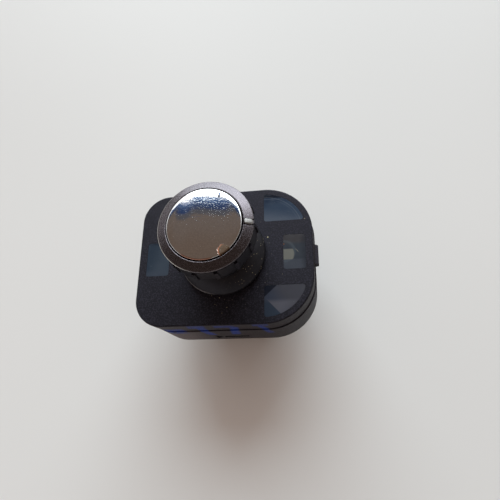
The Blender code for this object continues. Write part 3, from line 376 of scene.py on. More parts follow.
def scale(x, y, z=1.0, centre=(0, 0, 0)):
    bpy.ops.transform.resize(value=(x, y, z), center_override=centre)


def bevel(width, segments):
    bpy.ops.mesh.bevel(offset=width, segments=segments, affect="EDGES")


def inset(thickness, depth=0.0):
    bpy.ops.mesh.inset(thickness=thickness, depth=depth)


def curl(radius, steps=4, hollow=False):
    """Rounds the selected face's edge: it ends one radius further out and one radius smaller."""
    for step in range(steps):
        first, second = QUARTER * step / steps, QUARTER * (step + 1) / steps
        across = radius * (math.cos(first) - math.cos(second))
        along = radius * (math.sin(second) - math.sin(first))
        if hollow:
            across, along = along, across
        inset(across, along)


def close(made, angle=35):
    """Leaves edit mode, with faces pointing out and smooth up to an angle."""
    bpy.ops.mesh.select_mode(type="VERT")
    select_whole()
    bpy.ops.mesh.remove_doubles(threshold=TINY / 5)
    bpy.ops.mesh.normals_make_consistent(inside=False)
    bpy.ops.object.mode_set(mode="OBJECT")
    bpy.ops.object.shade_smooth_by_angle(angle=math.radians(angle))
    return made


def cuboid(name, one, other):
    """A box between two opposite corners, in any order, open for editing."""
    one, other = Vector(one), Vector(other)
    return begin(name, bpy.ops.mesh.primitive_cube_add, size=1, location=(one + other) / 2,
                 scale=[abs(side) for side in other - one])


def block(name, one, other, width=0.0):
    """A finished box between two corners, with all its edges rounded where a width is given."""
    made = cuboid(name, one, other)
    if width:
        bevel(width, 2)
    return close(made)


def drum(name, radius, low, high, place=(0, 0), steps=48):
    """An upright cylinder, for a Boolean."""
    return close(begin(
        name, bpy.ops.mesh.primitive_cylinder_add, vertices=steps, radius=radius,
        depth=high - low, location=(*place, (low + high) / 2),
    ))


def arc(x, y, radius, angles):
    """The places on a circle at these angles."""
    return [(x + radius * math.cos(angle), y + radius * math.sin(angle)) for angle in angles]


def spaced(first, last, steps):
    """Even steps from one number to another, both ends among them."""
    return [first + (last - first) * step / steps for step in range(steps + 1)]


def lathe(name, profile, steps=RING_STEPS):
    """A ring swept through a profile of (radius, height) about Z, by extruding and resizing."""
    profile = [(max(radius, TINY), height) for radius, height in profile]
    last, level = profile[0]
    made = begin(name, bpy.ops.mesh.primitive_circle_add, vertices=steps, radius=last,
                 location=(0, 0, level))
    bpy.ops.mesh.select_mode(type="EDGE")
    for radius, height in profile[1:] + profile[:1]:
        push(height - level)
        scale(radius / last, radius / last)
        last, level = radius, height
    bpy.ops.mesh.select_mode(type="VERT")
    select_whole()
    bpy.ops.mesh.remove_doubles(threshold=2 * TINY)
    bpy.ops.mesh.delete_loose(use_verts=True, use_edges=True, use_faces=False)
    select_whole()
    return made


def select_only(*parts):
    """Selects these objects alone, with the first as the active one."""
    bpy.ops.object.select_all(action="DESELECT")
    for part in parts:
        part.select_set(True)
    bpy.context.view_layer.objects.active = parts[0]


def modify(made, name, kind, **settings):
    """Adds a modifier to an object and applies it."""
    modifier = made.modifiers.new(name, kind)
    for key, value in settings.items():
        setattr(modifier, key, value)
    select_only(made)
    bpy.ops.object.modifier_apply(modifier=modifier.name)


def boolean(made, operation, tools):
    """Joins the tools to a piece or cuts them from it, one after the other, and removes them."""
    for tool in tools:
        modify(made, operation, "BOOLEAN", operation=operation, object=tool)
        bpy.data.objects.remove(tool)


def gather(parts):
    """One object of several that lie apart."""
    select_only(*parts)
    bpy.ops.object.join()
    return bpy.context.object


def smooth(made, angle=35):
    """Smooth up to an angle, with the large faces flat up to their edges."""
    select_only(made)
    bpy.ops.object.shade_smooth_by_angle(angle=math.radians(angle))
    modify(made, "flat faces", "WEIGHTED_NORMAL", keep_sharp=True, weight=90)
    return made


def dress(made, body, slot, finish, *nodes):
    """Gives a finished piece its body and its material, and hides the nodes that it stands for; its
    slot is not used.
    """
    finish.on(made)
    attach(made, body)
    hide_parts(*nodes)


def clip_middle(side):
    """Where the left (-1) or right (1) clip stands along Y."""
    return RIGHT_CLIP_SHIFT if side > 0 else 0.0


def case_block(name, inward, low, high, left):
    """A block with the case's plan, moved inwards, open for editing; left is its left radius."""
    half_x, half_y = HALF_LENGTH - inward, HALF_WIDTH - inward
    made = cuboid(name, (-half_x, -half_y, low), (half_x, half_y, high))
    for side, radius in ((1, sizes().right_corner), (-1, left)):
        pick(lambda edge: upright(edge) and side * edge.verts[0].co.x > 0, "EDGE")
        bevel(radius - inward, CORNER_STEPS)
    return made


def end_window(side, grow):
    """The outline of the left (-1) or right (1) window, as arcs."""
    size = sizes()
    radius, half = size.window_round, size.window_width / 2 - size.window_round
    if side > 0:
        margin, run, shift = size.right_margin, size.right_window, 0.0
    else:
        margin, run, shift = size.left_margin, size.left_window, LEFT_SHIFT
    outer = HALF_LENGTH - margin - radius
    low, high = sorted((side * outer, side * (outer - run + 2 * radius)))
    front, back = shift - half, shift + half
    places = ((low, front), (high, front), (high, back), (low, back))
    return [(*place, radius + grow, QUARTER * (turn - 2), QUARTER * (turn - 1))
            for turn, place in enumerate(places)]


def corner_window(side, grow):
    """The outline of the back (1) or front (-1) corner window: two straight sides and an arc."""
    size = sizes()
    radius = size.window_round
    x, y = HALF_LENGTH - size.right_corner, HALF_WIDTH - size.right_corner
    reach = size.right_corner - size.corner_margin
    near_x = x + radius
    near_y = HALF_WIDTH - size.corner_margin - size.corner_width + radius
    far_x = x + math.sqrt((reach - radius) ** 2 - (near_y - y) ** 2)
    far_y = y + math.sqrt((reach - radius) ** 2 - radius ** 2)
    right, top = math.atan2(near_y - y, far_x - x), math.atan2(far_y - y, near_x - x)
    arcs = [
        (near_x, near_y, radius + grow, -2 * QUARTER, -QUARTER),
        (far_x, near_y, radius + grow, -QUARTER, right),
        (x, y, reach + grow, right, top),
        (near_x, far_y, radius + grow, top, 2 * QUARTER),
    ]
    return [(x, side * y, radius, side * start, side * end) for x, y, radius, start, end in arcs]


def trace(name, arcs, height):
    """A flat face inside arcs of (x, y, radius, start, end) that lines join, open for editing."""
    last = None
    for x, y, radius, start, end in arcs:
        first, after = (Vector((*place, height)) for place in arc(x, y, radius, (start, end)))
        if last is None:
            made = begin(name, bpy.ops.mesh.primitive_plane_add, size=MM, location=first)
            bpy.ops.mesh.merge(type="CENTER")
        elif (first - last).length > TINY:
            push(0, *(first - last).xy)
        steps = max(6, round(abs(end - start) * radius / ARC_STEP))
        bpy.ops.mesh.spin(steps=steps, angle=start - end, center=(x, y, height), axis=(0, 0, 1))
        last = after
    select_whole()
    bpy.ops.mesh.remove_doubles(threshold=TINY)
    bpy.ops.mesh.edge_face_add()
    return made


def windows(grow, low, high):
    """The four windows' blocks; each is shaped further and closed before the next is made."""
    for outline in (end_window, corner_window):
        for side in (-1, 1):
            made = trace("window", outline(side, grow), low)
            select_whole()
            push(high - low)
            select_whole()
            bpy.ops.mesh.normals_make_consistent(inside=False)
            yield made


def middle_of(node):
    """Where a node stands in plan."""
    return sum(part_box(node), Vector()).xy / 2


def post_places():
    """Where the cover's two posts stand, from the screws under them."""
    return [middle_of("frame_screw_front"), middle_of("frame_screw_back")]


class Piece:
    """What the operators share: each makes its pieces from the sizes and is done."""

    def execute(self, context):
        self.build(sizes())
        return {"FINISHED"}


class MIRRORSWITCH_OT_cover(Piece, bpy.types.Operator):
    """Add the cover with its windows, snap clips and posts"""

    bl_idname = "mirrorswitch.cover"
    bl_label = "Cover"

    edge = 0.12 * MM
    well_edge = 0.04 * MM
    well_top = 1.0 * MM
    clip_heights = (0.6 * MM, 2.0 * MM, 3.4 * MM, 4.0 * MM)
    clip_round = 0.1 * MM
    left_drop = 0.8 * MM
    slot = 0.5 * MM
    post_radius = 2.0 * MM
    bore_radius = 1.2 * MM
    bore_end = 3.7 * MM

    def wells(self, size):
        """Openings that widen to a rounded edge at the cover's top."""
        made = []
        for window in windows(self.well_edge, COVER_TOP, COVER_TOP + self.well_top):
            pick(flat_at(COVER_TOP))
            curl(self.well_edge, 2, hollow=True)
            push(-2 * size.cover_plate)
            made.append(close(window))
        return gather(made)

    def clip(self, size, side):
        """A wedge with rounded edges on an end wall."""
        start = COVER_TOP - (self.left_drop if side < 0 else 0.0)
        top, crest, foot, end = (start - depth for depth in self.clip_heights)
        middle, half = clip_middle(side), size.clip_width / 2
        made = cuboid("clip", (side * (HALF_LENGTH - size.cover_wall / 2), middle - half, end),
                      (side * COVER_BOX[1].x, middle + half, top))

        def outside(vert):
            return side * vert.co.x > HALF_LENGTH

        for height, moved in ((top, crest), (end, foot)):
            pick(lambda edge: all(map(outside, edge.verts)) and flat_at(height)(edge), "EDGE")
            bpy.ops.transform.translate(value=(0, 0, moved - height))
        pick(lambda edge: any(map(outside, edge.verts)), "EDGE")
        bevel(self.clip_round, 3)
        return close(made)

    def build(self, size):
        low = COVER_TOP - size.cover_depth + SEAM / 6
        under, foot = COVER_TOP - size.cover_plate, low + self.edge
        shoulder = COVER_TOP - size.edge_round
        cover = case_block("case_cover", 0, foot, shoulder, size.left_corner)
        share, reach = size.left_low / size.left_corner, size.left_corner + TINY
        for side in (-1, 1):
            corner = Vector((-HALF_LENGTH, side * HALF_WIDTH, foot))
            pick(lambda vert: all(abs(value) < limit for value, limit in
                                  zip(vert.co - corner, (reach, reach, TINY))), "VERT")
            scale(share, share, centre=corner)
        pick(flat_at(shoulder))
        curl(size.edge_round, 5)
        pick(flat_at(foot))
        curl(self.edge, 3)
        inset(size.cover_wall - self.edge)
        push(under - low)
        close(cover)
        seat, places = COVER_BOX[0].z, post_places()
        posts = [drum("post", self.post_radius, seat, under + self.edge, place) for place in places]
        boolean(cover, "UNION", [self.clip(size, -1), self.clip(size, 1), *posts])
        hole = drum("hole", size.cover_hole, under - SEAM, COVER_TOP + SEAM, steps=WIDE_STEPS)
        pockets = windows(SEAM, under - SEAM, COVER_TOP - size.window_skin)
        bores = [drum("bore", self.bore_radius, seat - SEAM, seat + self.bore_end, place, 24)
                 for place in places]
        slots = []
        for side, turn in ((-1, -1), (-1, 1), (1, -1), (1, 1)):
            y, half = clip_middle(side) + turn * (size.clip_width / 2 + self.slot), self.slot / 2
            near, far = HALF_LENGTH - 2 * size.cover_wall, HALF_LENGTH + size.cover_wall
            slots.append(block("slot", (side * near, y - half, low - SEAM),
                               (side * far, y + half, under - SEAM)))
        pockets = gather([close(window) for window in pockets])
        boolean(cover, "DIFFERENCE", [self.wells(size), hole, pockets, gather(bores), gather(slots)])
        dress(smooth(cover), "root", "case_plastic", case_plastic(), "top_cover")


class MIRRORSWITCH_OT_shell(Piece, bpy.types.Operator):
    """Add the lower shell with its lip, latch slots and sunk mark"""

    bl_idname = "mirrorswitch.shell"
    bl_label = "Shell"

    edge = 0.12 * MM
    foot_round = 0.4 * MM
    slot_round = 0.15 * MM
    ledge_drop = 1.0 * MM
    relief = 1.0 * MM
    mark_length = 1.8 * MM
    mark_height = 3.6 * MM
    mark_depth = 0.3 * MM
    mark_space = 0.3 * MM

    def mark(self, size):
        """A triangle that points to the front slot."""
        tip = size.latch_middle - size.latch_width / 2 - self.mark_space
        middle = CASE_BOTTOM + size.latch_rise + size.latch_height / 2
        half = self.mark_height / 2
        front = -HALF_WIDTH - SHELL_PROUD - SEAM
        made = cuboid("mark", (tip - self.mark_length, front, middle - half),
                      (tip, self.mark_depth - HALF_WIDTH, middle + half))
        pick(lambda vert: abs(vert.co.x - tip) < TINY, "VERT")
        scale(1, 1, 0, (0, 0, middle))
        return close(made)

    def build(self, size):
        high, lip_top = COVER_TOP - size.cover_depth - SEAM / 3, SHELL_BOX[1].z
        lip_inset = size.cover_wall + SEAM
        foot, shoulder = CASE_BOTTOM + self.foot_round, high - self.edge
        shell = case_block("case_shell", 0, foot, shoulder, size.shell_left)
        pick(flat_at(shoulder))
        scale(1 + SHELL_PROUD / HALF_LENGTH, 1 + SHELL_PROUD / HALF_WIDTH)
        pick(flat_at(foot))
        curl(self.foot_round, 4)
        pick(flat_at(shoulder))
        curl(self.edge, 3)
        inset(lip_inset + SHELL_PROUD - self.edge)
        push(lip_top - high)
        close(shell)
        ledge, inner = high - self.ledge_drop, size.shell_wall - SHELL_PROUD
        hollow = case_block("hollow", inner, CASE_BOTTOM - SEAM, ledge, size.shell_left)
        pick(flat_at(ledge))
        step = lip_inset + size.lip_wall - inner
        inset(step, step)
        push(lip_top - ledge)
        close(hollow)
        low, left = CASE_BOTTOM + size.latch_rise, size.latch_middle - size.latch_width / 2
        near, far = HALF_WIDTH + 2 * SEAM, HALF_WIDTH - 2 * size.shell_wall
        right, top = left + size.latch_width, low + size.latch_height
        latches = [block("slot", (left, side * near, low), (right, side * far, top), self.slot_round)
                   for side in (-1, 1)]
        half = size.clip_width / 2 + self.relief
        near, far = HALF_LENGTH - 4 * size.cover_wall, HALF_LENGTH + size.cover_wall
        reliefs = [block("relief", (side * near, clip_middle(side) - half, high + SEAM),
                         (side * far, clip_middle(side) + half, COVER_TOP)) for side in (-1, 1)]
        boolean(shell, "DIFFERENCE", [hollow, gather(latches), gather(reliefs), self.mark(size)])
        dress(smooth(shell), "root", "case_plastic", case_plastic(), "housing_shell")


class MIRRORSWITCH_OT_windows(Piece, bpy.types.Operator):
    """Add the clear moulding whose four pads fill the windows"""

    bl_idname = "mirrorswitch.windows"
    bl_label = "Windows"

    plate = 0.8 * MM
    pipe = 2.6 * MM
    hole = 10.2 * MM
    post_hole = 2.3 * MM
    edge = 0.04 * MM
    play = 0.01 * MM
    pad_drop = 0.03 * MM

    def build(self, size):
        high = COVER_TOP - size.cover_plate - SEAM
        low = high - self.plate
        guide = close(case_block("window_lenses", size.cover_wall + SEAM, low, high, size.left_low))
        pads = []
        pad_top = COVER_TOP - self.pad_drop - self.edge
        for pad in windows(-self.play, low + self.plate / 2, pad_top):
            pick(flat_at(pad_top))
            curl(self.edge, 3)
            pads.append(close(pad))
        half = self.pipe / 2
        pipes = []
        for name in LED_NAMES:
            x, y = middle_of(name)
            pipes.append(block("pipe", (x - half, y - half, GUIDE_BOX[0].z),
                               (x + half, y + half, high - self.edge), self.edge))
        boolean(guide, "UNION", pads + pipes)
        start, end = low - SEAM, high + SEAM
        holes = [drum("hole", self.post_hole, start, end, place) for place in post_places()]
        holes.append(drum("hole", self.hole, start, end, steps=WIDE_STEPS))
        boolean(guide, "DIFFERENCE", [gather(holes)])
        dress(smooth(guide), "root", "clear_lens", smoked_lens(), "light_guide")


class MIRRORSWITCH_OT_skirt(Piece, bpy.types.Operator):
    """Add the neck and the domed skirt under the knob"""

    bl_idname = "mirrorswitch.skirt"
    bl_label = "Skirt"

    wall = 1.1 * MM
    rim = 0.45 * MM
    rim_round = 0.14 * MM
    pivot_depth = 6.0 * MM
    dome_steps = 12
    ring_steps = 144

    def build(self, size):
        radius, low, top = SKIRT_BOX[1].x, SKIRT_BOX[0].z, SKIRT_BOX[1].z
        edge, pivot, inner = self.rim_round, COVER_TOP - self.pivot_depth, radius - self.wall

        def dome(start, end, reach):
            return [(at, pivot + math.sqrt(reach ** 2 - at ** 2))
                    for at in spaced(start, end, self.dome_steps)]

        profile = [
            (inner, low),
            *arc(radius - edge, low + edge, edge, spaced(-QUARTER, 0, 3)),
            (radius, low + self.rim - edge),
            *dome(radius - 0.5 * edge, size.neck_radius, math.hypot(radius, low + self.rim - pivot)),
            (size.neck_radius, top - SEAM), (size.neck_radius - SEAM, top), (size.sleeve_radius, top),
            *dome(size.sleeve_radius, inner, math.hypot(inner, low - pivot))[:-1],
        ]
        skirt = close(lathe("dust_skirt", profile, self.ring_steps), 25)
        dress(skirt, "carrier", "skirt_plastic", skirt_plastic(), "stem_skirt")


class MIRRORSWITCH_OT_grip(Piece, bpy.types.Operator):
    """Add the knob's body with its ribs"""

    bl_idname = "mirrorswitch.grip"
    bl_label = "Grip"

    per_rib = 12
    rib_faces = 2
    roof = 1.3 * MM
    bore = 2.5 * MM
    tube_radius = 4.4 * MM
    tube_drop = 1.3 * MM
    notch_depth = 0.5 * MM
    foot_round = 0.25 * MM
    top_round = 0.1 * MM
    rib_edge = 0.06 * MM
    edge_angle = math.radians(50)
    wall_play = 0.05 * MM
    step_share = 0.25

    def build(self, size):
        low, top = GRIP_BOX[0].z, GRIP_BOX[1].z
        radius, inner = size.grip_radius, size.grip_radius - size.grip_wall
        rib_top, shoulder = top - size.rib_height, top - self.top_round
        roof, edge = top - self.roof, self.foot_round
        bore, bore_top = self.bore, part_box("knob_shaft")[1].z + SEAM
        profile = [
            (bore, roof - self.tube_drop), (self.tube_radius, roof - self.tube_drop),
            (self.tube_radius, roof), (inner, roof), (inner, low), (radius - edge, low),
            *arc(radius - edge, low + edge, edge, spaced(-QUARTER, 0, 3))[1:],
            (radius, rib_top), (radius, rib_top + self.step_share * size.rib_height),
            (radius, shoulder), (radius - self.top_round, top),
            (0, top), (0, bore_top), (bore, bore_top),
        ]
        grip = lathe("grip_body", profile, size.rib_count * self.per_rib)
        pitch = 2 * math.pi / size.rib_count

        def on_rib(face, start, end):
            middle = face.calc_center_median()
            away = math.atan2(middle.y, middle.x) / pitch
            return (middle.xy.length > radius - self.wall_play and start < middle.z < end
                    and abs(away - round(away)) * self.per_rib < self.rib_faces / 2)

        for start, end, reach in ((low + edge, rib_top, GRIP_BOX[1].x),
                                  (rib_top, shoulder, radius - self.notch_depth)):
            pick(lambda face: on_rib(face, start, end))
            push(0)
            scale(reach / radius, reach / radius)
        close(grip, 30)
        modify(grip, "edges", "BEVEL", width=self.rib_edge, segments=2, limit_method="ANGLE",
               angle_limit=self.edge_angle, use_clamp_overlap=True)
        dress(smooth(grip), "knob", "grip_plastic", grip_plastic(), "knob_grip")


class MIRRORSWITCH_OT_bezel(Piece, bpy.types.Operator):
    """Add the sloping ring round the disc"""

    bl_idname = "mirrorswitch.bezel"
    bl_label = "Bezel"

    lip = 0.2 * MM
    outer_round = 0.22 * MM
    foot_round = 0.1 * MM
    slot_gap = 0.15 * MM
    slot_round = 0.08 * MM

    def build(self, size):
        seat, top = BEZEL_BOX[0].z, BEZEL_BOX[1].z
        radius, inner = BEZEL_BOX[1].x, size.bezel_inner
        edge, lip, foot = self.outer_round, self.lip, seat + self.foot_round
        rise = math.atan2(top - seat - 2 * edge, radius - inner)
        profile = [
            (inner, seat), (radius - self.foot_round, seat), (radius, foot),
            *arc(radius - edge, foot + edge, edge, spaced(0, QUARTER - rise, 4)),
            *arc(inner + lip, top - lip, lip, spaced(QUARTER - rise, 2 * QUARTER, 5)),
        ]
        bezel = close(lathe("bezel_ring", profile), 25)
        gap, half = self.slot_gap, POINTER_BOX[1].y + self.slot_gap
        slot = block("slot", (POINTER_BOX[0].x - gap, -half, POINTER_BOX[0].z - gap),
                     (radius + SEAM, half, top + SEAM), self.slot_round)
        boolean(bezel, "DIFFERENCE", [slot])
        dress(smooth(bezel, 25), "knob", "bezel_paint", bezel_paint(), "knob_bezel")


class MIRRORSWITCH_OT_disc(Piece, bpy.types.Operator):
    """Add the chrome disc with the chip in its edge"""

    bl_idname = "mirrorswitch.disc"
    bl_label = "Chrome disc"

    crown = 0.12 * MM
    crown_steps = 10
    spread = 0.06 * MM

    def build(self, size):
        low, radius = DISC_BOX[0].z, DISC_BOX[1].x + self.spread
        edge, high = size.disc_edge, DISC_BOX[1].z - self.crown
        flat = radius - edge
        profile = [
            (0, low), (flat, low), (radius, low + edge),
            *arc(flat, high - edge, edge, spaced(0, QUARTER, 5)),
            *[(flat * share, high + self.crown * (1 - share ** 2))
              for share in spaced(1, 0, self.crown_steps)[1:]],
        ]
        disc = close(lathe("chrome_cap", profile), 40)
        dress(disc, "knob", "chrome_disc", chrome(), "knob_disc")


class MIRRORSWITCH_OT_pointer(Piece, bpy.types.Operator):
    """Add the silver pointer on the bezel"""

    bl_idname = "mirrorswitch.pointer"
    bl_label = "Pointer"

    crown = 0.2 * MM
    inner_round = 0.3 * MM
    outer_flat = 0.01 * MM
    end_gap = 0.15 * MM
    bezel_edges = 0.3 * MM

    def build(self, size):
        low, high = POINTER_BOX[0], POINTER_BOX[1] - Vector((self.end_gap, 0, 0))
        middle, lift = (low + high) / 2, Vector((0, 0, self.crown / 2))
        pointer = cuboid("pointer_bar", low + lift, high - lift)
        for side, radius in ((1, high.y - self.outer_flat), (-1, self.inner_round)):
            pick(lambda edge: upright(edge) and side * (edge.verts[0].co.x - middle.x) > 0, "EDGE")
            bevel(radius, 10)
        mesh = bmesh.from_edit_mesh(pointer.data)
        pick(flat_at(max(vert.co.z for vert in mesh.verts)))
        curl(self.crown, 5)
        mesh = bmesh.from_edit_mesh(pointer.data)
        shift = high.z - max(vert.co.z for vert in mesh.verts)
        fall = BEZEL_BOX[1].z - BEZEL_BOX[0].z - self.bezel_edges
        reach = BEZEL_BOX[1].x - size.bezel_inner
        for vert in mesh.verts:
            if vert.co.z > middle.z:
                vert.co.z += shift - fall / reach * (vert.co.x - low.x)
        bmesh.update_edit_mesh(pointer.data)
        close(pointer)
        dress(pointer, "knob", "pointer_silver", pointer_silver(), "knob_pointer")


class MIRRORSWITCH_OT_base(Piece, bpy.types.Operator):
    """Add the bottom plate with the plug socket"""

    bl_idname = "mirrorswitch.base"
    bl_label = "Plug base"

    plate = 1.3 * MM
    corner = 1.6 * MM
    corner_shrink = 0.8
    rim_round = 0.2 * MM
    key_width = 1.0 * MM
    key_reach = 0.7 * MM
    key_spacing = 13.0 * MM
    key_start = 1.2 * MM
    key_round = 0.12 * MM
    catch = (5.2 * MM, 6.0 * MM, 8.4 * MM)
    catch_round = 0.15 * MM
    arm = 0.8 * MM
    barb_sink = 0.6 * MM
    barb_round = 0.1 * MM
    pillar_radius = 1.2 * MM
    pillar_insets = (6.0 * MM, 7.5 * MM, 7.7 * MM)
    bearing_radius = 2.1 * MM
    bearing_depth = 0.8 * MM

    def socket_block(self, size, inward, low, high):
        half_x, half_y = size.socket_length / 2 - inward, size.socket_width / 2 - inward
        made = cuboid("socket", (-half_x, -half_y, low), (half_x, half_y, high))
        pick(upright, "EDGE")
        bevel(self.corner - self.corner_shrink * inward, 8)
        return made

    def snaps(self, size, outer, inside):
        """The two snap arms, whose barbs stand in the shell's latch slots."""
        half, low = size.latch_width / 2 - SEAM, CASE_BOTTOM + size.latch_rise
        left, right, high = size.latch_middle - half, size.latch_middle + half, low + size.latch_height
        for side in (-1, 1):
            yield block("arm", (left, side * outer, inside), (right, side * (outer - self.arm), high))
            yield block("barb", (left, side * (HALF_WIDTH - self.barb_sink), low + SEAM),
                        (right, side * (outer - self.arm / 2), high - SEAM), self.barb_round)

    def build(self, size):
        inward = size.shell_wall - SHELL_PROUD + SEAM
        top, inside = CASE_BOTTOM + self.plate, CASE_BOTTOM + self.plate / 2
        base = close(case_block("plug_base", inward, CASE_BOTTOM, top, size.shell_left))
        socket = self.socket_block(size, 0, self.rim_round, inside)
        pick(flat_at(self.rim_round))
        curl(self.rim_round, 4)
        close(socket)
        half, back = self.key_width / 2, size.socket_width / 2
        joined = [socket]
        for x in (-self.key_spacing / 2, self.key_spacing / 2):
            joined.append(block("key", (x - half, -back - self.key_reach, self.key_start),
                                (x + half, size.socket_wall / 2 - back, inside), self.key_round))
        joined += self.snaps(size, HALF_WIDTH - inward, inside)
        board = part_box("circuit_board")[0].z
        inset_left, inset_right, inset_side = self.pillar_insets
        for x in (inset_left - HALF_LENGTH, HALF_LENGTH - inset_right):
            for y in (inset_side - HALF_WIDTH, HALF_WIDTH - inset_side):
                joined.append(drum("pillar", self.pillar_radius, inside, board - SEAM, (x, y), 32))
        boolean(base, "UNION", joined)
        cavity = close(self.socket_block(size, size.socket_wall, -SEAM, CASE_BOTTOM))
        grow, holes = Vector((SEAM, SEAM, 0)), []
        for pin in PIN_NAMES:
            low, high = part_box(pin)
            holes.append(block("hole", (*(low - grow).xy, CASE_BOTTOM - self.plate), high + grow))
        width, catch_low, catch_high = self.catch
        bearing = drum("bearing", self.bearing_radius, top - self.bearing_depth, top + self.plate)
        catch = block("catch", (-width / 2, back - 2 * size.socket_wall, catch_low),
                      (width / 2, back + size.socket_wall, catch_high), self.catch_round)
        boolean(base, "DIFFERENCE", [cavity, gather(holes), bearing, catch])
        dress(smooth(base), "root", "case_plastic", case_plastic(), "connector_base")


class MIRRORSWITCH_OT_pins(Piece, bpy.types.Operator):
    """Add the contact blades with their tapered tips"""

    bl_idname = "mirrorswitch.pins"
    bl_label = "Contact blades"

    taper = 0.7 * MM
    tip = (0.55, 0.4)
    edge = 0.08 * MM

    def build(self, size):
        low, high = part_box(PIN_NAMES[0])
        blade = cuboid("contact_blade_01", low + Vector((0, 0, self.taper)), high)
        pick(upright, "EDGE")
        bevel(self.edge, 3)
        pick(flat_at(low.z + self.taper))
        push(-self.taper)
        scale(*self.tip, centre=(*middle_of(PIN_NAMES[0]), 0))
        close(blade)
        blades = [blade]
        for number, pin in enumerate(PIN_NAMES[1:], 2):
            copy = blade.copy()
            copy.data = blade.data.copy()
            copy.name = copy.data.name = f"contact_blade_{number:02d}"
            copy.data.transform(Matrix.Translation(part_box(pin)[0] - low))
            bpy.context.collection.objects.link(copy)
            blades.append(copy)
        for made, pin in zip(blades, PIN_NAMES):
            dress(made, "root", "pin_brass", tinned_brass(), pin)


def shaded(colour, share):
    """A lighter or darker tone of a colour."""
    return [share * value for value in colour]


# Crumbs and dark specks on the cover, as places in plan and radii, in millimetres
CRUMBS = (
    (-0.7, -10.4, 0.09), (1.1, -12.7, 0.07), (-1.7, -11.9, 0.05), (0.0, -14.0, 0.05),
    (-2.55, -9.8, 0.06), (13.8, -5.4, 0.05), (2.3, -11.0, 0.04), (19.3, 8.1, 0.09),
)
DARK_SPECKS = ((10.2, 0.3, 0.22), (-8.6, -9.2, 0.22), (10.35, -0.35, 0.12))

# Ink strokes on the front wall: left and right, start and end below the cover's top, lean, strength
INK_STROKES = (
    (-16.4, -10.4, 3.2, 7.0, -0.3, 0.85), (-8.5, -4.4, 0.5, 3.0, 0.0, 0.75),
    (-6.9, -5.0, 2.4, 10.0, -0.22, 1.0), (-2.3, 2.6, 0.8, 2.9, 0.0, 0.65),
    (1.2, 3.2, 2.4, 9.8, 0.10, 1.0), (6.7, 10.2, 0.5, 2.2, 0.0, 0.6), (7.6, 9.0, 1.8, 9.0, -0.26, 0.9),
)

# Scratches in the disc, each from one place in plan to another
SCRATCHES = (
    ((-6.1, 2.8), (-5.6, 1.8)), ((-3.3, 1.5), (-0.5, 1.4)), ((-3.7, 0.3), (-2.5, -1.0)),
    ((2.6, 2.55), (3.5, 2.3)), ((-5.5, 2.6), (-5.2, 2.0)), ((4.9, 1.6), (5.6, 1.5)),
    ((-4.9, 1.9), (-3.4, 2.5)), ((-1.9, 0.9), (-0.6, 0.2)), ((0.4, 1.9), (2.3, 1.2)),
)


@once
def case_plastic():
    """Fine-grained black plastic with dust and blue marker smudges on the front wall, with painted
    floor reflections on the walls and a painted sheen on the clips.
    """
    colour = colours()
    made = Finish("case plastic", colour.case, 0.5, Specular_IOR_Level=0.195,
                  Specular_Tint=(0.88, 0.81, 1.0, 1.0))
    top, bottom, end = COVER_TOP / MM, CASE_BOTTOM / MM, HALF_LENGTH / MM
    grain, cloud = made.noise(0.27, 1.0), made.noise(7.0, 3.0, 0.55)
    face = made.ramp(made.z, top - 0.3, top - 0.1)
    foot = made.ramp(made.away(), 15.5, 11.5) * made.ramp(made.x + made.y * -0.5, -3.0, 4.0)
    fine = (made.specks(0.8, 0.06, 0.08) + made.specks(0.55, 0.09, 0.40, (3, 1, 2)) * foot) * face
    coarse = made.specks(2.6, 0.10, 0.08, (7, 5, 0)) * face
    side = made.ramp(made.z, top - 0.2, top - 0.6) * made.ramp(abs(made.x), end + 0.4, end + 0.2)
    film = side * made.ramp(made.noise(1.4, 4.0, 0.6), 0.3, 0.8)
    # Painted reflection of the bright floor: the front wall paler towards the left, more so low down
    pale = made.ramp(made.x, -3.0, -13.0) * (made.ramp(made.z, top - 4.5, top - 8.0) * 0.26 + 0.055)
    pale = pale * made.ramp(made.y, -10.0, -15.0) * made.ramp(made.z, bottom - 0.1, bottom)
    crumb = made.near(10.5, 3.9, 0.15, 0.08) * face
    dark = sum(made.near(*spot) for spot in DARK_SPECKS) * face
    made.surface(
        made.layers(
            colour.case,
            (made.ramp(cloud, 0.35, 0.7), shaded(colour.case, 1.4)),
            (made.ramp(grain, 0.48, 0.64) * 0.46, (0.036, 0.034, 0.048)),
            # Walls: a cloudy dust film, and an even warm tint that is a painted reflection of the warm
            # floor
            (film * 0.05 + side * 0.012, (0.24, 0.19, 0.17)),
            # Painted floor reflection on the front wall
            (pale * side, (0.31, 0.26, 0.27)),
            # Outer faces of the clips a little paler and bluer: a painted sheen
            (made.ramp(abs(made.x), end + 0.2, end + 0.4) * 0.035, (0.50, 0.48, 0.58)),
            (fine * 0.6 + coarse * 0.5, colour.dust),
            (crumb, (0.50, 0.46, 0.27)),
            (dark, (0.001, 0.001, 0.001)),
            *[(made.near(*spot, 0.06) * face, (0.34, 0.31, 0.22)) for spot in CRUMBS],
            (ink_marks(made), colour.ink),
        ),
        made.ramp(grain, 0.3, 0.7) * 0.14 + 0.51,
        grain + (fine + coarse + crumb) * 0.5, 0.035,
    )
    return made


def ink_marks(made):
    """Smeared strokes on the front wall, in millimetres from the cover's top."""
    front, depth = HALF_WIDTH / MM, COVER_TOP / MM - made.z
    wall = made.ramp(made.y, 0.4 - front, 0.1 - front)
    smear = made.ramp(made.noise(1.2, 3.0, 0.6, (1, 1, 0.5)), 0.22, 0.48)
    total = 0.0
    for left, right, start, end, lean, strength in INK_STROKES:
        across = made.x + (depth - start) * lean
        stroke = made.within(across, left, right, 0.35) * made.within(depth, start, end, 0.5)
        total = stroke.maths("MAXIMUM", total, stroke * strength)
    return total * wall * smear


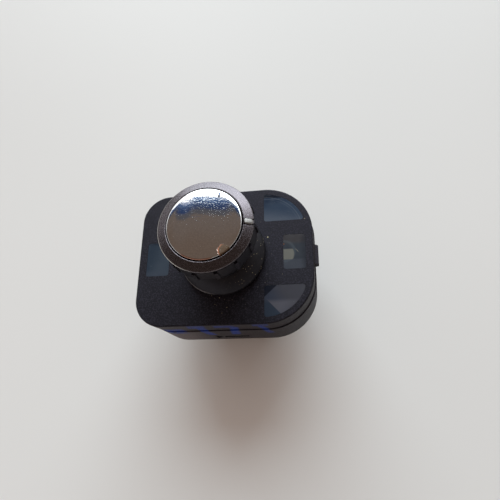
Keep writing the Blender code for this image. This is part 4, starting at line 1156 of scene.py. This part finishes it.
@once
def smoked_lens():
    """Blue-grey clear plastic; what lies under it is painted on as soft patches, among them painted
    shade at the windows' back edges and over the dark inside.
    """
    colour = colours()
    made = Finish("smoked lens", colour.lens, 0.2, Specular_IOR_Level=0.24)
    x, y, ramp = made.x, made.y, made.ramp
    # The tone of the painted shade in the windows
    dark = (0.0095, 0.0120, 0.0200)
    left, back, front = ramp(x, -12.0, -13.0), ramp(y, 7.0, 7.5), ramp(y, -7.0, -7.5)
    right = made.within(y, -4.4, 4.4, 0.1) * ramp(x, 13.0, 13.5)
    ring = made.within(made.away(14.2, 0.1), 2.2, 2.75, 0.25)
    lamp = ramp(made.away(13.9, -0.6), 2.85, 2.5) * made.within(y, -1.95, 0.62, 0.15)
    ledge = made.within(y + x * 0.04, 14.2, 14.34, 0.06) * ramp(x, 15.0, 14.0)
    arris = made.away(9.6, 5.3)
    lines = made.within(arris, 9.0, 9.1, 0.06) + made.within(arris, 8.5, 8.56, 0.06) * 0.6
    olive = made.mix(ramp(x + y * 0.6, 4.0, 9.0), (0.036, 0.045, 0.068), (0.046, 0.048, 0.060))
    below = 1 - made.beside(10.9, -12.0, 2.4, -2.55, 0.12)
    patch = ramp(y, -10.9, -12.2) * (1 - below) * ramp(x + y * -0.6, 26.0, 20.5)
    dust = made.specks(1.1, 0.06, 0.14) + made.specks(0.45, 0.05, 0.5, (5, 1, 0)) * 0.12
    hair = made.stroke((16.9, 0.55), (17.4, 0.1), 0.05)
    hair = hair + made.stroke((17.3, 0.1), (17.55, -0.15), 0.05)
    made.surface(
        made.layers(
            colour.lens,
            (left * ramp(x + y * -0.35, -18.5, -14.5), (0.038, 0.052, 0.072)),
            # Left window darker towards its back: a painted shadow of the knob
            (left * ramp(y + x * 0.12, 0.9, 2.7), dark),
            (left * ramp(y, -2.4, -4.2) * 0.7, (0.042, 0.053, 0.074)),
            (right, (0.032, 0.039, 0.050)),
            (right * ramp(y, -1.7, -2.1), (0.045, 0.052, 0.067)),
            (right * ramp(y, 1.5, 2.6), (0.042, 0.040, 0.044)),
            (right * ramp(x, 17.6, 19.2) * 0.6, (0.016, 0.018, 0.026)),
            (ring * right * 0.22, (0.10, 0.13, 0.15)),
            (lamp * right * 0.95, (0.138, 0.140, 0.125)),
            (made.near(14.25, 1.9, 0.14, 0.06) * 0.8, (0.22, 0.09, 0.03)),
            (back, (0.034, 0.052, 0.084)),
            (back * ramp(y + x * 0.20, 14.1, 9.6) * 0.85, (0.090, 0.108, 0.141)),
            (back * ramp(y + x * -0.25, 8.4, 11.2), (0.019, 0.030, 0.054)),
            # Dark band at the left end of the back edge: a painted shadow of the window's rim
            (back * ramp(y + x * 0.04, 14.5, 14.8) * ramp(x, 14.5, 13.5), dark),
            (back * ledge * 0.4, (0.10, 0.12, 0.15)),
            (back * lines * 0.3, (0.20, 0.23, 0.26)),
            (front, olive),
            (front * patch * 0.85, (0.088, 0.091, 0.113)),
            (front * below * ramp(y, -11.0, -12.4) * 0.75, (0.020, 0.033, 0.053)),
            # Dark corner at the back left: painted shade of the dark inside
            (front * made.beside(9.5, -10.7, 2.95, 2.7, 0.10), dark),
            (dust * 0.4 + hair * 0.7, (0.22, 0.21, 0.17)),
        ),
        ramp(made.noise(1.2, 3.0), 0.2, 0.8) * 0.12 + 0.16 - back * 0.10,
        made.noise(3.0), 0.02,
    )
    return made


@once
def skirt_plastic():
    """Satin black plastic with dust that has settled on the dome, and a painted highlight along the
    rim's lower-left edge.
    """
    colour = colours()
    base = shaded(colour.case, 0.75)
    made = Finish("skirt plastic", base, 0.42, Specular_IOR_Level=0.40,
                  Specular_Tint=(0.93, 0.88, 1.0, 1.0))
    grain, edge = made.noise(0.3), SKIRT_BOX[1].x / MM
    dome = made.ramp(made.z, COVER_TOP / MM + 7.0, COVER_TOP / MM + 4.0)
    side = made.ramp(made.x, 0.0, 8.0)
    dust = (made.specks(0.6, 0.10, 0.42) + made.specks(1.2, 0.15, 0.6, (4, 2, 1))) * side
    dust = dust + made.specks(0.8, 0.07, 0.25, (1, 8, 3))
    # Lower-left edge of the rim in pale grey: a painted highlight
    rim = made.ramp(made.away(), edge - 0.24, edge - 0.08) * made.ramp(made.noise(0.7), 0.25, 0.5)
    rim = rim * made.ramp(made.x + made.y * 0.2, -2.5, -6.5)
    film = made.ramp(made.noise(1.6, 4.0, 0.65), 0.45, 0.85) * 0.04
    tone = made.layers(base, (dome * film, colour.dust), (rim * 0.6, (0.28, 0.29, 0.32)),
                       (dome * dust * 0.8, (0.42, 0.37, 0.24)))
    made.surface(tone, made.ramp(grain, 0.2, 0.8) * 0.12 + 0.32, grain + dust, 0.018)
    return made


@once
def grip_plastic():
    """Black moulded plastic, polished by fingers on the ribs."""
    colour = colours()
    made = Finish("grip plastic", colour.grip, 0.45, Specular_IOR_Level=0.20,
                  Specular_Tint=(0.95, 0.90, 1.0, 1.0))
    wear_and_sheen = made.ramp(made.away(), 10.1, 10.28) * made.ramp(made.noise(0.8, 3.0), 0.35, 0.7)
    tone = made.layers(colour.grip, (wear_and_sheen * 0.3, (0.040, 0.035, 0.046)),
                       (made.specks(1.2, 0.05, 0.2) * 0.5, colour.dust))
    grain = made.noise(0.2, 2.0, 0.6)
    made.surface(tone, made.ramp(grain, 0.2, 0.8) * 0.14 + 0.36 - wear_and_sheen * 0.1, grain, 0.02)
    return made


@once
def bezel_paint():
    """Dark metallic paint with fine flakes, and a painted highlight along the outer edge at the lower
    left.
    """
    colour = colours()
    made = Finish("bezel paint", colour.bezel, 0.3, 1.0)
    flakes, rim = made.noise(0.20, 1.0), BEZEL_BOX[1].x / MM
    # Pale outer edge at the lower left: a painted highlight
    wear_and_sheen = made.ramp(made.away(), rim - 0.18, rim - 0.06)
    wear_and_sheen = wear_and_sheen * made.ramp(made.x + made.y * 0.2, -3.5, -8.5)
    tone = made.layers(
        colour.bezel,
        (made.ramp(flakes, 0.45, 0.72) * 0.8, shaded(colour.bezel, 1.7)),
        (made.specks(0.45, 0.05, 0.22) * 0.7, (0.02, 0.02, 0.02)),
        (wear_and_sheen * 0.72, (0.85, 0.82, 0.76)),
    )
    made.surface(tone, made.ramp(flakes, 0.3, 0.7) * 0.12 + 0.24, made.noise(0.18, 2.0, 0.7), 0.024)
    return made


@once
def chrome():
    """Bright chrome with fine scratches, a painted copper-red reflection along its lower edge, and a
    chip with a copper rim.
    """
    colour = colours()
    made = Finish("chrome", colour.chrome, 0.06, 1.0)
    x, y = made.x, made.y
    wobble = made.noise(0.9, 3.0, 0.6)
    chip_away = made.away(4.35, -6.0) + (wobble - 0.5) * 0.8
    chip = made.ramp(chip_away, 1.28, 1.16)
    rim = made.within(chip_away, 1.02, 1.30, 0.08) * made.ramp(x, 4.5, 3.4)
    glint = made.stroke((4.5, -4.86), (5.2, -5.15), 0.08)
    # Copper-red along the lower edge: a painted reflection
    wear_and_sheen = made.ramp(made.away(), 7.50, 7.66) * made.within(x, -4.4, 1.9, 0.6)
    wear_and_sheen = wear_and_sheen * made.ramp(y, -5.0, -5.8)
    hair = made.noise(0.30, 4.0, 0.7, (1, 8, 1)) + made.noise(0.35, 4.0, 0.7, (7, 1.5, 1), (3, 1, 0))
    scratches = made.ramp(hair, 1.12, 1.35)
    for start, end in SCRATCHES:
        scratches = scratches + made.stroke(start, end, 0.03) * 0.5
    tone = made.layers(
        colour.chrome,
        (made.ramp(made.noise(0.35, 3.0, 0.7), 0.40, 0.60), shaded(colour.chrome, 0.91)),
        (chip, colour.chip),
        (made.stroke((3.15, 6.6), (3.0, 5.6), 0.28, 0.08), (0.012, 0.024, 0.055)),
        (wear_and_sheen, (0.56, 0.30, 0.22)),
        (scratches * 0.7, (1.0, 1.0, 1.0)),
        (rim * 0.45, colour.copper),
    )
    smudge = made.ramp(made.noise(2.4, 3.0, 0.6), 0.4, 0.75)
    haze = made.within(y + wobble, 3.6, 6.0, 0.5) * 0.12 + 0.02
    wave = made.noise(3.2, 1.5) * 0.12 + (made.noise(0.42, 3.0, 0.7) - 0.5) * haze - chip * 1.2
    rough = scratches * 0.12 + smudge * 0.012 + chip * 0.3 + glint * 0.1 + 0.02
    made.surface(tone, rough, wave + scratches * 0.05, 0.03)
    made.set("Metallic", 1 - chip * 0.9 - rim * 0.3)
    return made


@once
def pointer_silver():
    """Satin silver with faint darker grime."""
    colour = colours()
    made = Finish("pointer silver", colour.pointer, 0.3, 0.85)
    grime = made.ramp(made.noise(0.5, 3.0), 0.45, 0.8)
    tone = made.mix(grime * 0.2, colour.pointer, (0.12, 0.12, 0.12))
    made.surface(tone, made.ramp(made.noise(0.15), 0.2, 0.8) * 0.15 + 0.30, made.noise(0.2), 0.006)
    return made


@once
def tinned_brass():
    """Tin over brass, with streaks along the blade."""
    tin, brass = (0.72, 0.66, 0.50), (0.58, 0.50, 0.36)
    made = Finish("tinned brass", tin, 0.3, 1.0)
    streaks = made.noise(0.5, 3.0, 0.6, (1, 1, 0.15))
    tone = made.mix(made.ramp(streaks, 0.4, 0.7), tin, brass)
    made.surface(tone, made.ramp(streaks, 0.2, 0.8) * 0.2 + 0.2, streaks, 0.01)
    return made


def moulded(name, colour, roughness, metallic=0.0, size=0.3):
    """A plain finish for a hidden piece: a fine grain and slow changes of tone."""
    made = Finish(name, colour, roughness, metallic)
    grain, cloud = made.noise(size, 2.0, 0.6), made.noise(4.0)
    tone = made.mix(made.ramp(cloud, 0.35, 0.7), colour, shaded(colour, 0.75))
    made.surface(tone, made.ramp(grain, 0.2, 0.8) * 0.15 + roughness - 0.07, grain, 0.012)
    return made


def board_green():
    """Green solder mask with copper tracks under it and bare pads round the blades."""
    made = Finish("board green", (0.012, 0.10, 0.045), 0.35)
    tracks = made.ramp(made.noise(1.3, 0.0, 0.0, (1, 3, 1)), 0.49, 0.52)
    tracks = tracks * made.ramp(made.noise(2.1), 0.45, 0.5)
    base = made.mix(tracks, (0.010, 0.075, 0.034), (0.02, 0.16, 0.07))
    pads = sum(made.near(*(middle_of(pin) / MM), 1.05, 0.05) for pin in PIN_NAMES)
    tone = made.mix(pads, base, (0.62, 0.60, 0.55))
    made.surface(tone, 0.36 - tracks * 0.08, tracks + pads * 0.5, 0.03)
    made.set("Metallic", pads * 0.9)
    return made


def lamp_body():
    """A white body with a yellow lens in the middle of its top."""
    body = (0.72, 0.70, 0.64)
    made = Finish("lamp body", body, 0.45)
    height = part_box(LED_NAMES[0])[1].z / MM
    grain = made.noise(0.4)
    tone = made.layers(body, (made.ramp(made.z, height - 0.55, height - 0.3), (0.75, 0.62, 0.12)),
                       (made.ramp(grain, 0.5, 0.8) * 0.2, (0.5, 0.48, 0.44)))
    made.surface(tone, made.ramp(grain, 0.2, 0.8) * 0.2 + 0.3, grain, 0.01)
    return made


def chip_resistor(node):
    """A black chip with tinned ends."""
    low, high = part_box(node)
    half, black = (high.x - low.x) / 2 / MM, (0.02, 0.02, 0.022)
    made = Finish(f"{node} finish", black, 0.4)
    ends = made.ramp(abs(made.x - middle_of(node).x / MM), half - 0.45, half - 0.4)
    grain = made.noise(0.2)
    tone = made.mix(ends, black, (0.66, 0.66, 0.64))
    made.surface(tone, made.ramp(grain, 0.2, 0.8) * 0.15 + 0.28, grain, 0.01)
    made.set("Metallic", ends)
    return made


class MIRRORSWITCH_OT_mechanism(Piece, bpy.types.Operator):
    """Give the hidden pieces their finishes"""

    bl_idname = "mirrorswitch.mechanism"
    bl_label = "Mechanism finishes"

    def build(self, size):
        black = moulded("frame plastic", (0.025, 0.025, 0.027), 0.5)
        natural = moulded("bearing plastic", (0.50, 0.48, 0.42), 0.42)
        steel = moulded("spring steel", (0.52, 0.52, 0.51), 0.3, 1.0, 0.15)
        zinc = moulded("screw zinc", (0.50, 0.50, 0.47), 0.36, 1.0, 0.15)
        looks = {
            "pivot_frame": black, "stem_carrier": black, "gimbal_ring": natural, "knob_shaft": natural,
            "shaft_clip": steel, "detent_ball": steel, "detent_spring": steel,
            "frame_screw_front": zinc, "frame_screw_back": zinc,
            "selector_rotor": moulded("rotor plastic", (0.36, 0.07, 0.035), 0.45),
            "wiper_contact": moulded("contact bronze", (0.62, 0.36, 0.17), 0.28, 1.0, 0.15),
            "switch_mat": moulded("mat rubber", (0.33, 0.33, 0.31), 0.65),
            "circuit_board": board_green(), **dict.fromkeys(LED_NAMES, lamp_body()),
        }
        for number in (1, 2, 3):
            looks[f"resistor_{number}"] = chip_resistor(f"resistor_{number}")
        for name, finish in looks.items():
            finish.on(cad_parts[name])


def table_top():
    """Pale matt surface with a very faint random tone, and painted shading that darkens it to the right
    and to the back.
    """
    floor = colours().floor
    made = Finish("table top", floor, 0.6)
    tone = made.ramp(made.noise(160.0), 0.2, 0.8) * 0.2
    # Darker to the right and to the back: painted shading of the light's fall-off
    tone = tone + made.ramp(made.x, -40, 55) * 0.45 + made.ramp(made.y, 5, 90) * 0.35
    made.set("Base Color", made.mix(tone, floor, shaded(floor, 0.90)))
    return made


# What the disc mirrors of the sky: each colour comes in between two slopes away from the zenith
SKY_BANDS = (
    (0.455, 0.475, (0.187, 0.187, 0.213)), (0.486, 0.502, (0.060, 0.110, 0.280)),
    (0.526, 0.546, (0.220, 0.420, 0.870)), (0.558, 0.564, (3.4, 3.45, 3.5)),
)


def sky(world):
    """Warm light all round; mirrors see a brown ceiling, a blue band and pale walls."""
    world.use_nodes = True
    made = Nodes(world.node_tree)
    made.place("Generated")
    background = world.node_tree.nodes["Background"]
    across = made.x / made.z
    tilt = across.maths("MINIMUM", across.maths("MAXIMUM", across, -0.48), -0.10)
    lean = made.y / made.z + tilt * 0.2 + made.ramp(across, -0.345, -0.395) * 0.034
    lean = lean - made.ramp(across, -0.424, -0.445) * 0.05 - made.ramp(across, -0.212, -0.185) * 0.02
    wall = made.mix(made.ramp(made.x, 0.2, -0.5), (0.60, 0.58, 0.56), (1.1, 1.07, 1.07))
    mirrored = made.layers(
        (0.289, 0.213, 0.170),
        (made.ramp(lean, 0.30, 0.44), (0.316, 0.253, 0.220)),
        *[(made.ramp(lean, start, end), colour) for start, end, colour in SKY_BANDS],
        (made.ramp(made.z, 0.50, 0.30), wall),
    )
    path = made.node("ShaderNodeLightPath", out="Is Glossy Ray")
    colour = made.mix(path, (0.92, 0.725, 0.631), mirrored)
    world.node_tree.links.new(colour.socket, background.inputs["Color"])
    background.inputs["Strength"].default_value = 0.494


class MIRRORSWITCH_OT_stage(Piece, bpy.types.Operator):
    """Add the floor, the window light, the sky and the camera"""

    bl_idname = "mirrorswitch.stage"
    bl_label = "Stage"

    floor_side = 2.4
    window_size = (3.25, 3.61)
    window_top = 4.0
    window_middle = 0.10
    window_away = 2.5
    window_power = 203.0
    window_colour = (0.81, 0.93, 0.985)
    camera_place = (23.806 * MM, -38.226 * MM, 129.148 * MM)
    camera_turn = (21.5957, 9.9917, 0.4625)
    focal_length = 32.752
    sensor = 36.0
    camera_start = 0.005

    def build(self, size):
        bpy.ops.object.select_all(action="DESELECT")
        bpy.ops.mesh.primitive_plane_add(size=self.floor_side)
        floor = bpy.context.object
        floor.name = floor.data.name = "table"
        table_top().on(floor)
        width, height = self.window_size
        bpy.ops.object.light_add(
            type="AREA", location=(self.window_middle, self.window_away, self.window_top - height / 2),
            rotation=(-QUARTER, 0, 0),
        )
        lamp = bpy.context.object
        lamp.name = "window_light"
        lamp.data.shape = "RECTANGLE"
        lamp.data.size, lamp.data.size_y = width, height
        lamp.data.energy, lamp.data.color = self.window_power, self.window_colour
        scene = bpy.context.scene
        scene.world = bpy.data.worlds.new("studio")
        sky(scene.world)
        bpy.ops.object.camera_add(
            location=self.camera_place, rotation=[math.radians(angle) for angle in self.camera_turn]
        )
        camera = bpy.context.object
        camera.name = "photo_camera"
        camera.data.lens, camera.data.sensor_width = self.focal_length, self.sensor
        camera.data.clip_start = self.camera_start
        scene.camera = camera
        scene.view_settings.view_transform = "Standard"


OPERATORS = (
    MIRRORSWITCH_OT_cover, MIRRORSWITCH_OT_shell, MIRRORSWITCH_OT_windows, MIRRORSWITCH_OT_base,
    MIRRORSWITCH_OT_pins, MIRRORSWITCH_OT_skirt, MIRRORSWITCH_OT_grip, MIRRORSWITCH_OT_bezel,
    MIRRORSWITCH_OT_disc, MIRRORSWITCH_OT_pointer, MIRRORSWITCH_OT_mechanism, MIRRORSWITCH_OT_stage,
)


class MIRRORSWITCH_PT_panel(bpy.types.Panel):
    """Lists the switch's pieces, sizes and colours"""

    bl_idname = "MIRRORSWITCH_PT_panel"
    bl_label = "Mirror Switch"
    bl_space_type = "VIEW_3D"
    bl_region_type = "UI"
    bl_category = "Mirror Switch"

    def draw(self, context):
        layout = self.layout
        for operator in OPERATORS:
            layout.operator(operator.bl_idname)
        for group in (context.scene.switch_sizes, context.scene.switch_colours):
            box = layout.box()
            for name in group.__annotations__:
                box.prop(group, name)


CLASSES = (SwitchSizes, SwitchColours, *OPERATORS, MIRRORSWITCH_PT_panel)


def register():
    for made in CLASSES:
        bpy.utils.register_class(made)
    bpy.types.Scene.switch_sizes = bpy.props.PointerProperty(type=SwitchSizes)
    bpy.types.Scene.switch_colours = bpy.props.PointerProperty(type=SwitchColours)


def unregister():
    del bpy.types.Scene.switch_colours
    del bpy.types.Scene.switch_sizes
    for made in reversed(CLASSES):
        bpy.utils.unregister_class(made)


def main():
    register()
    for operator in OPERATORS:
        group, name = operator.bl_idname.split(".")
        getattr(getattr(bpy.ops, group), name)()


if __name__ == "__main__":
    main()
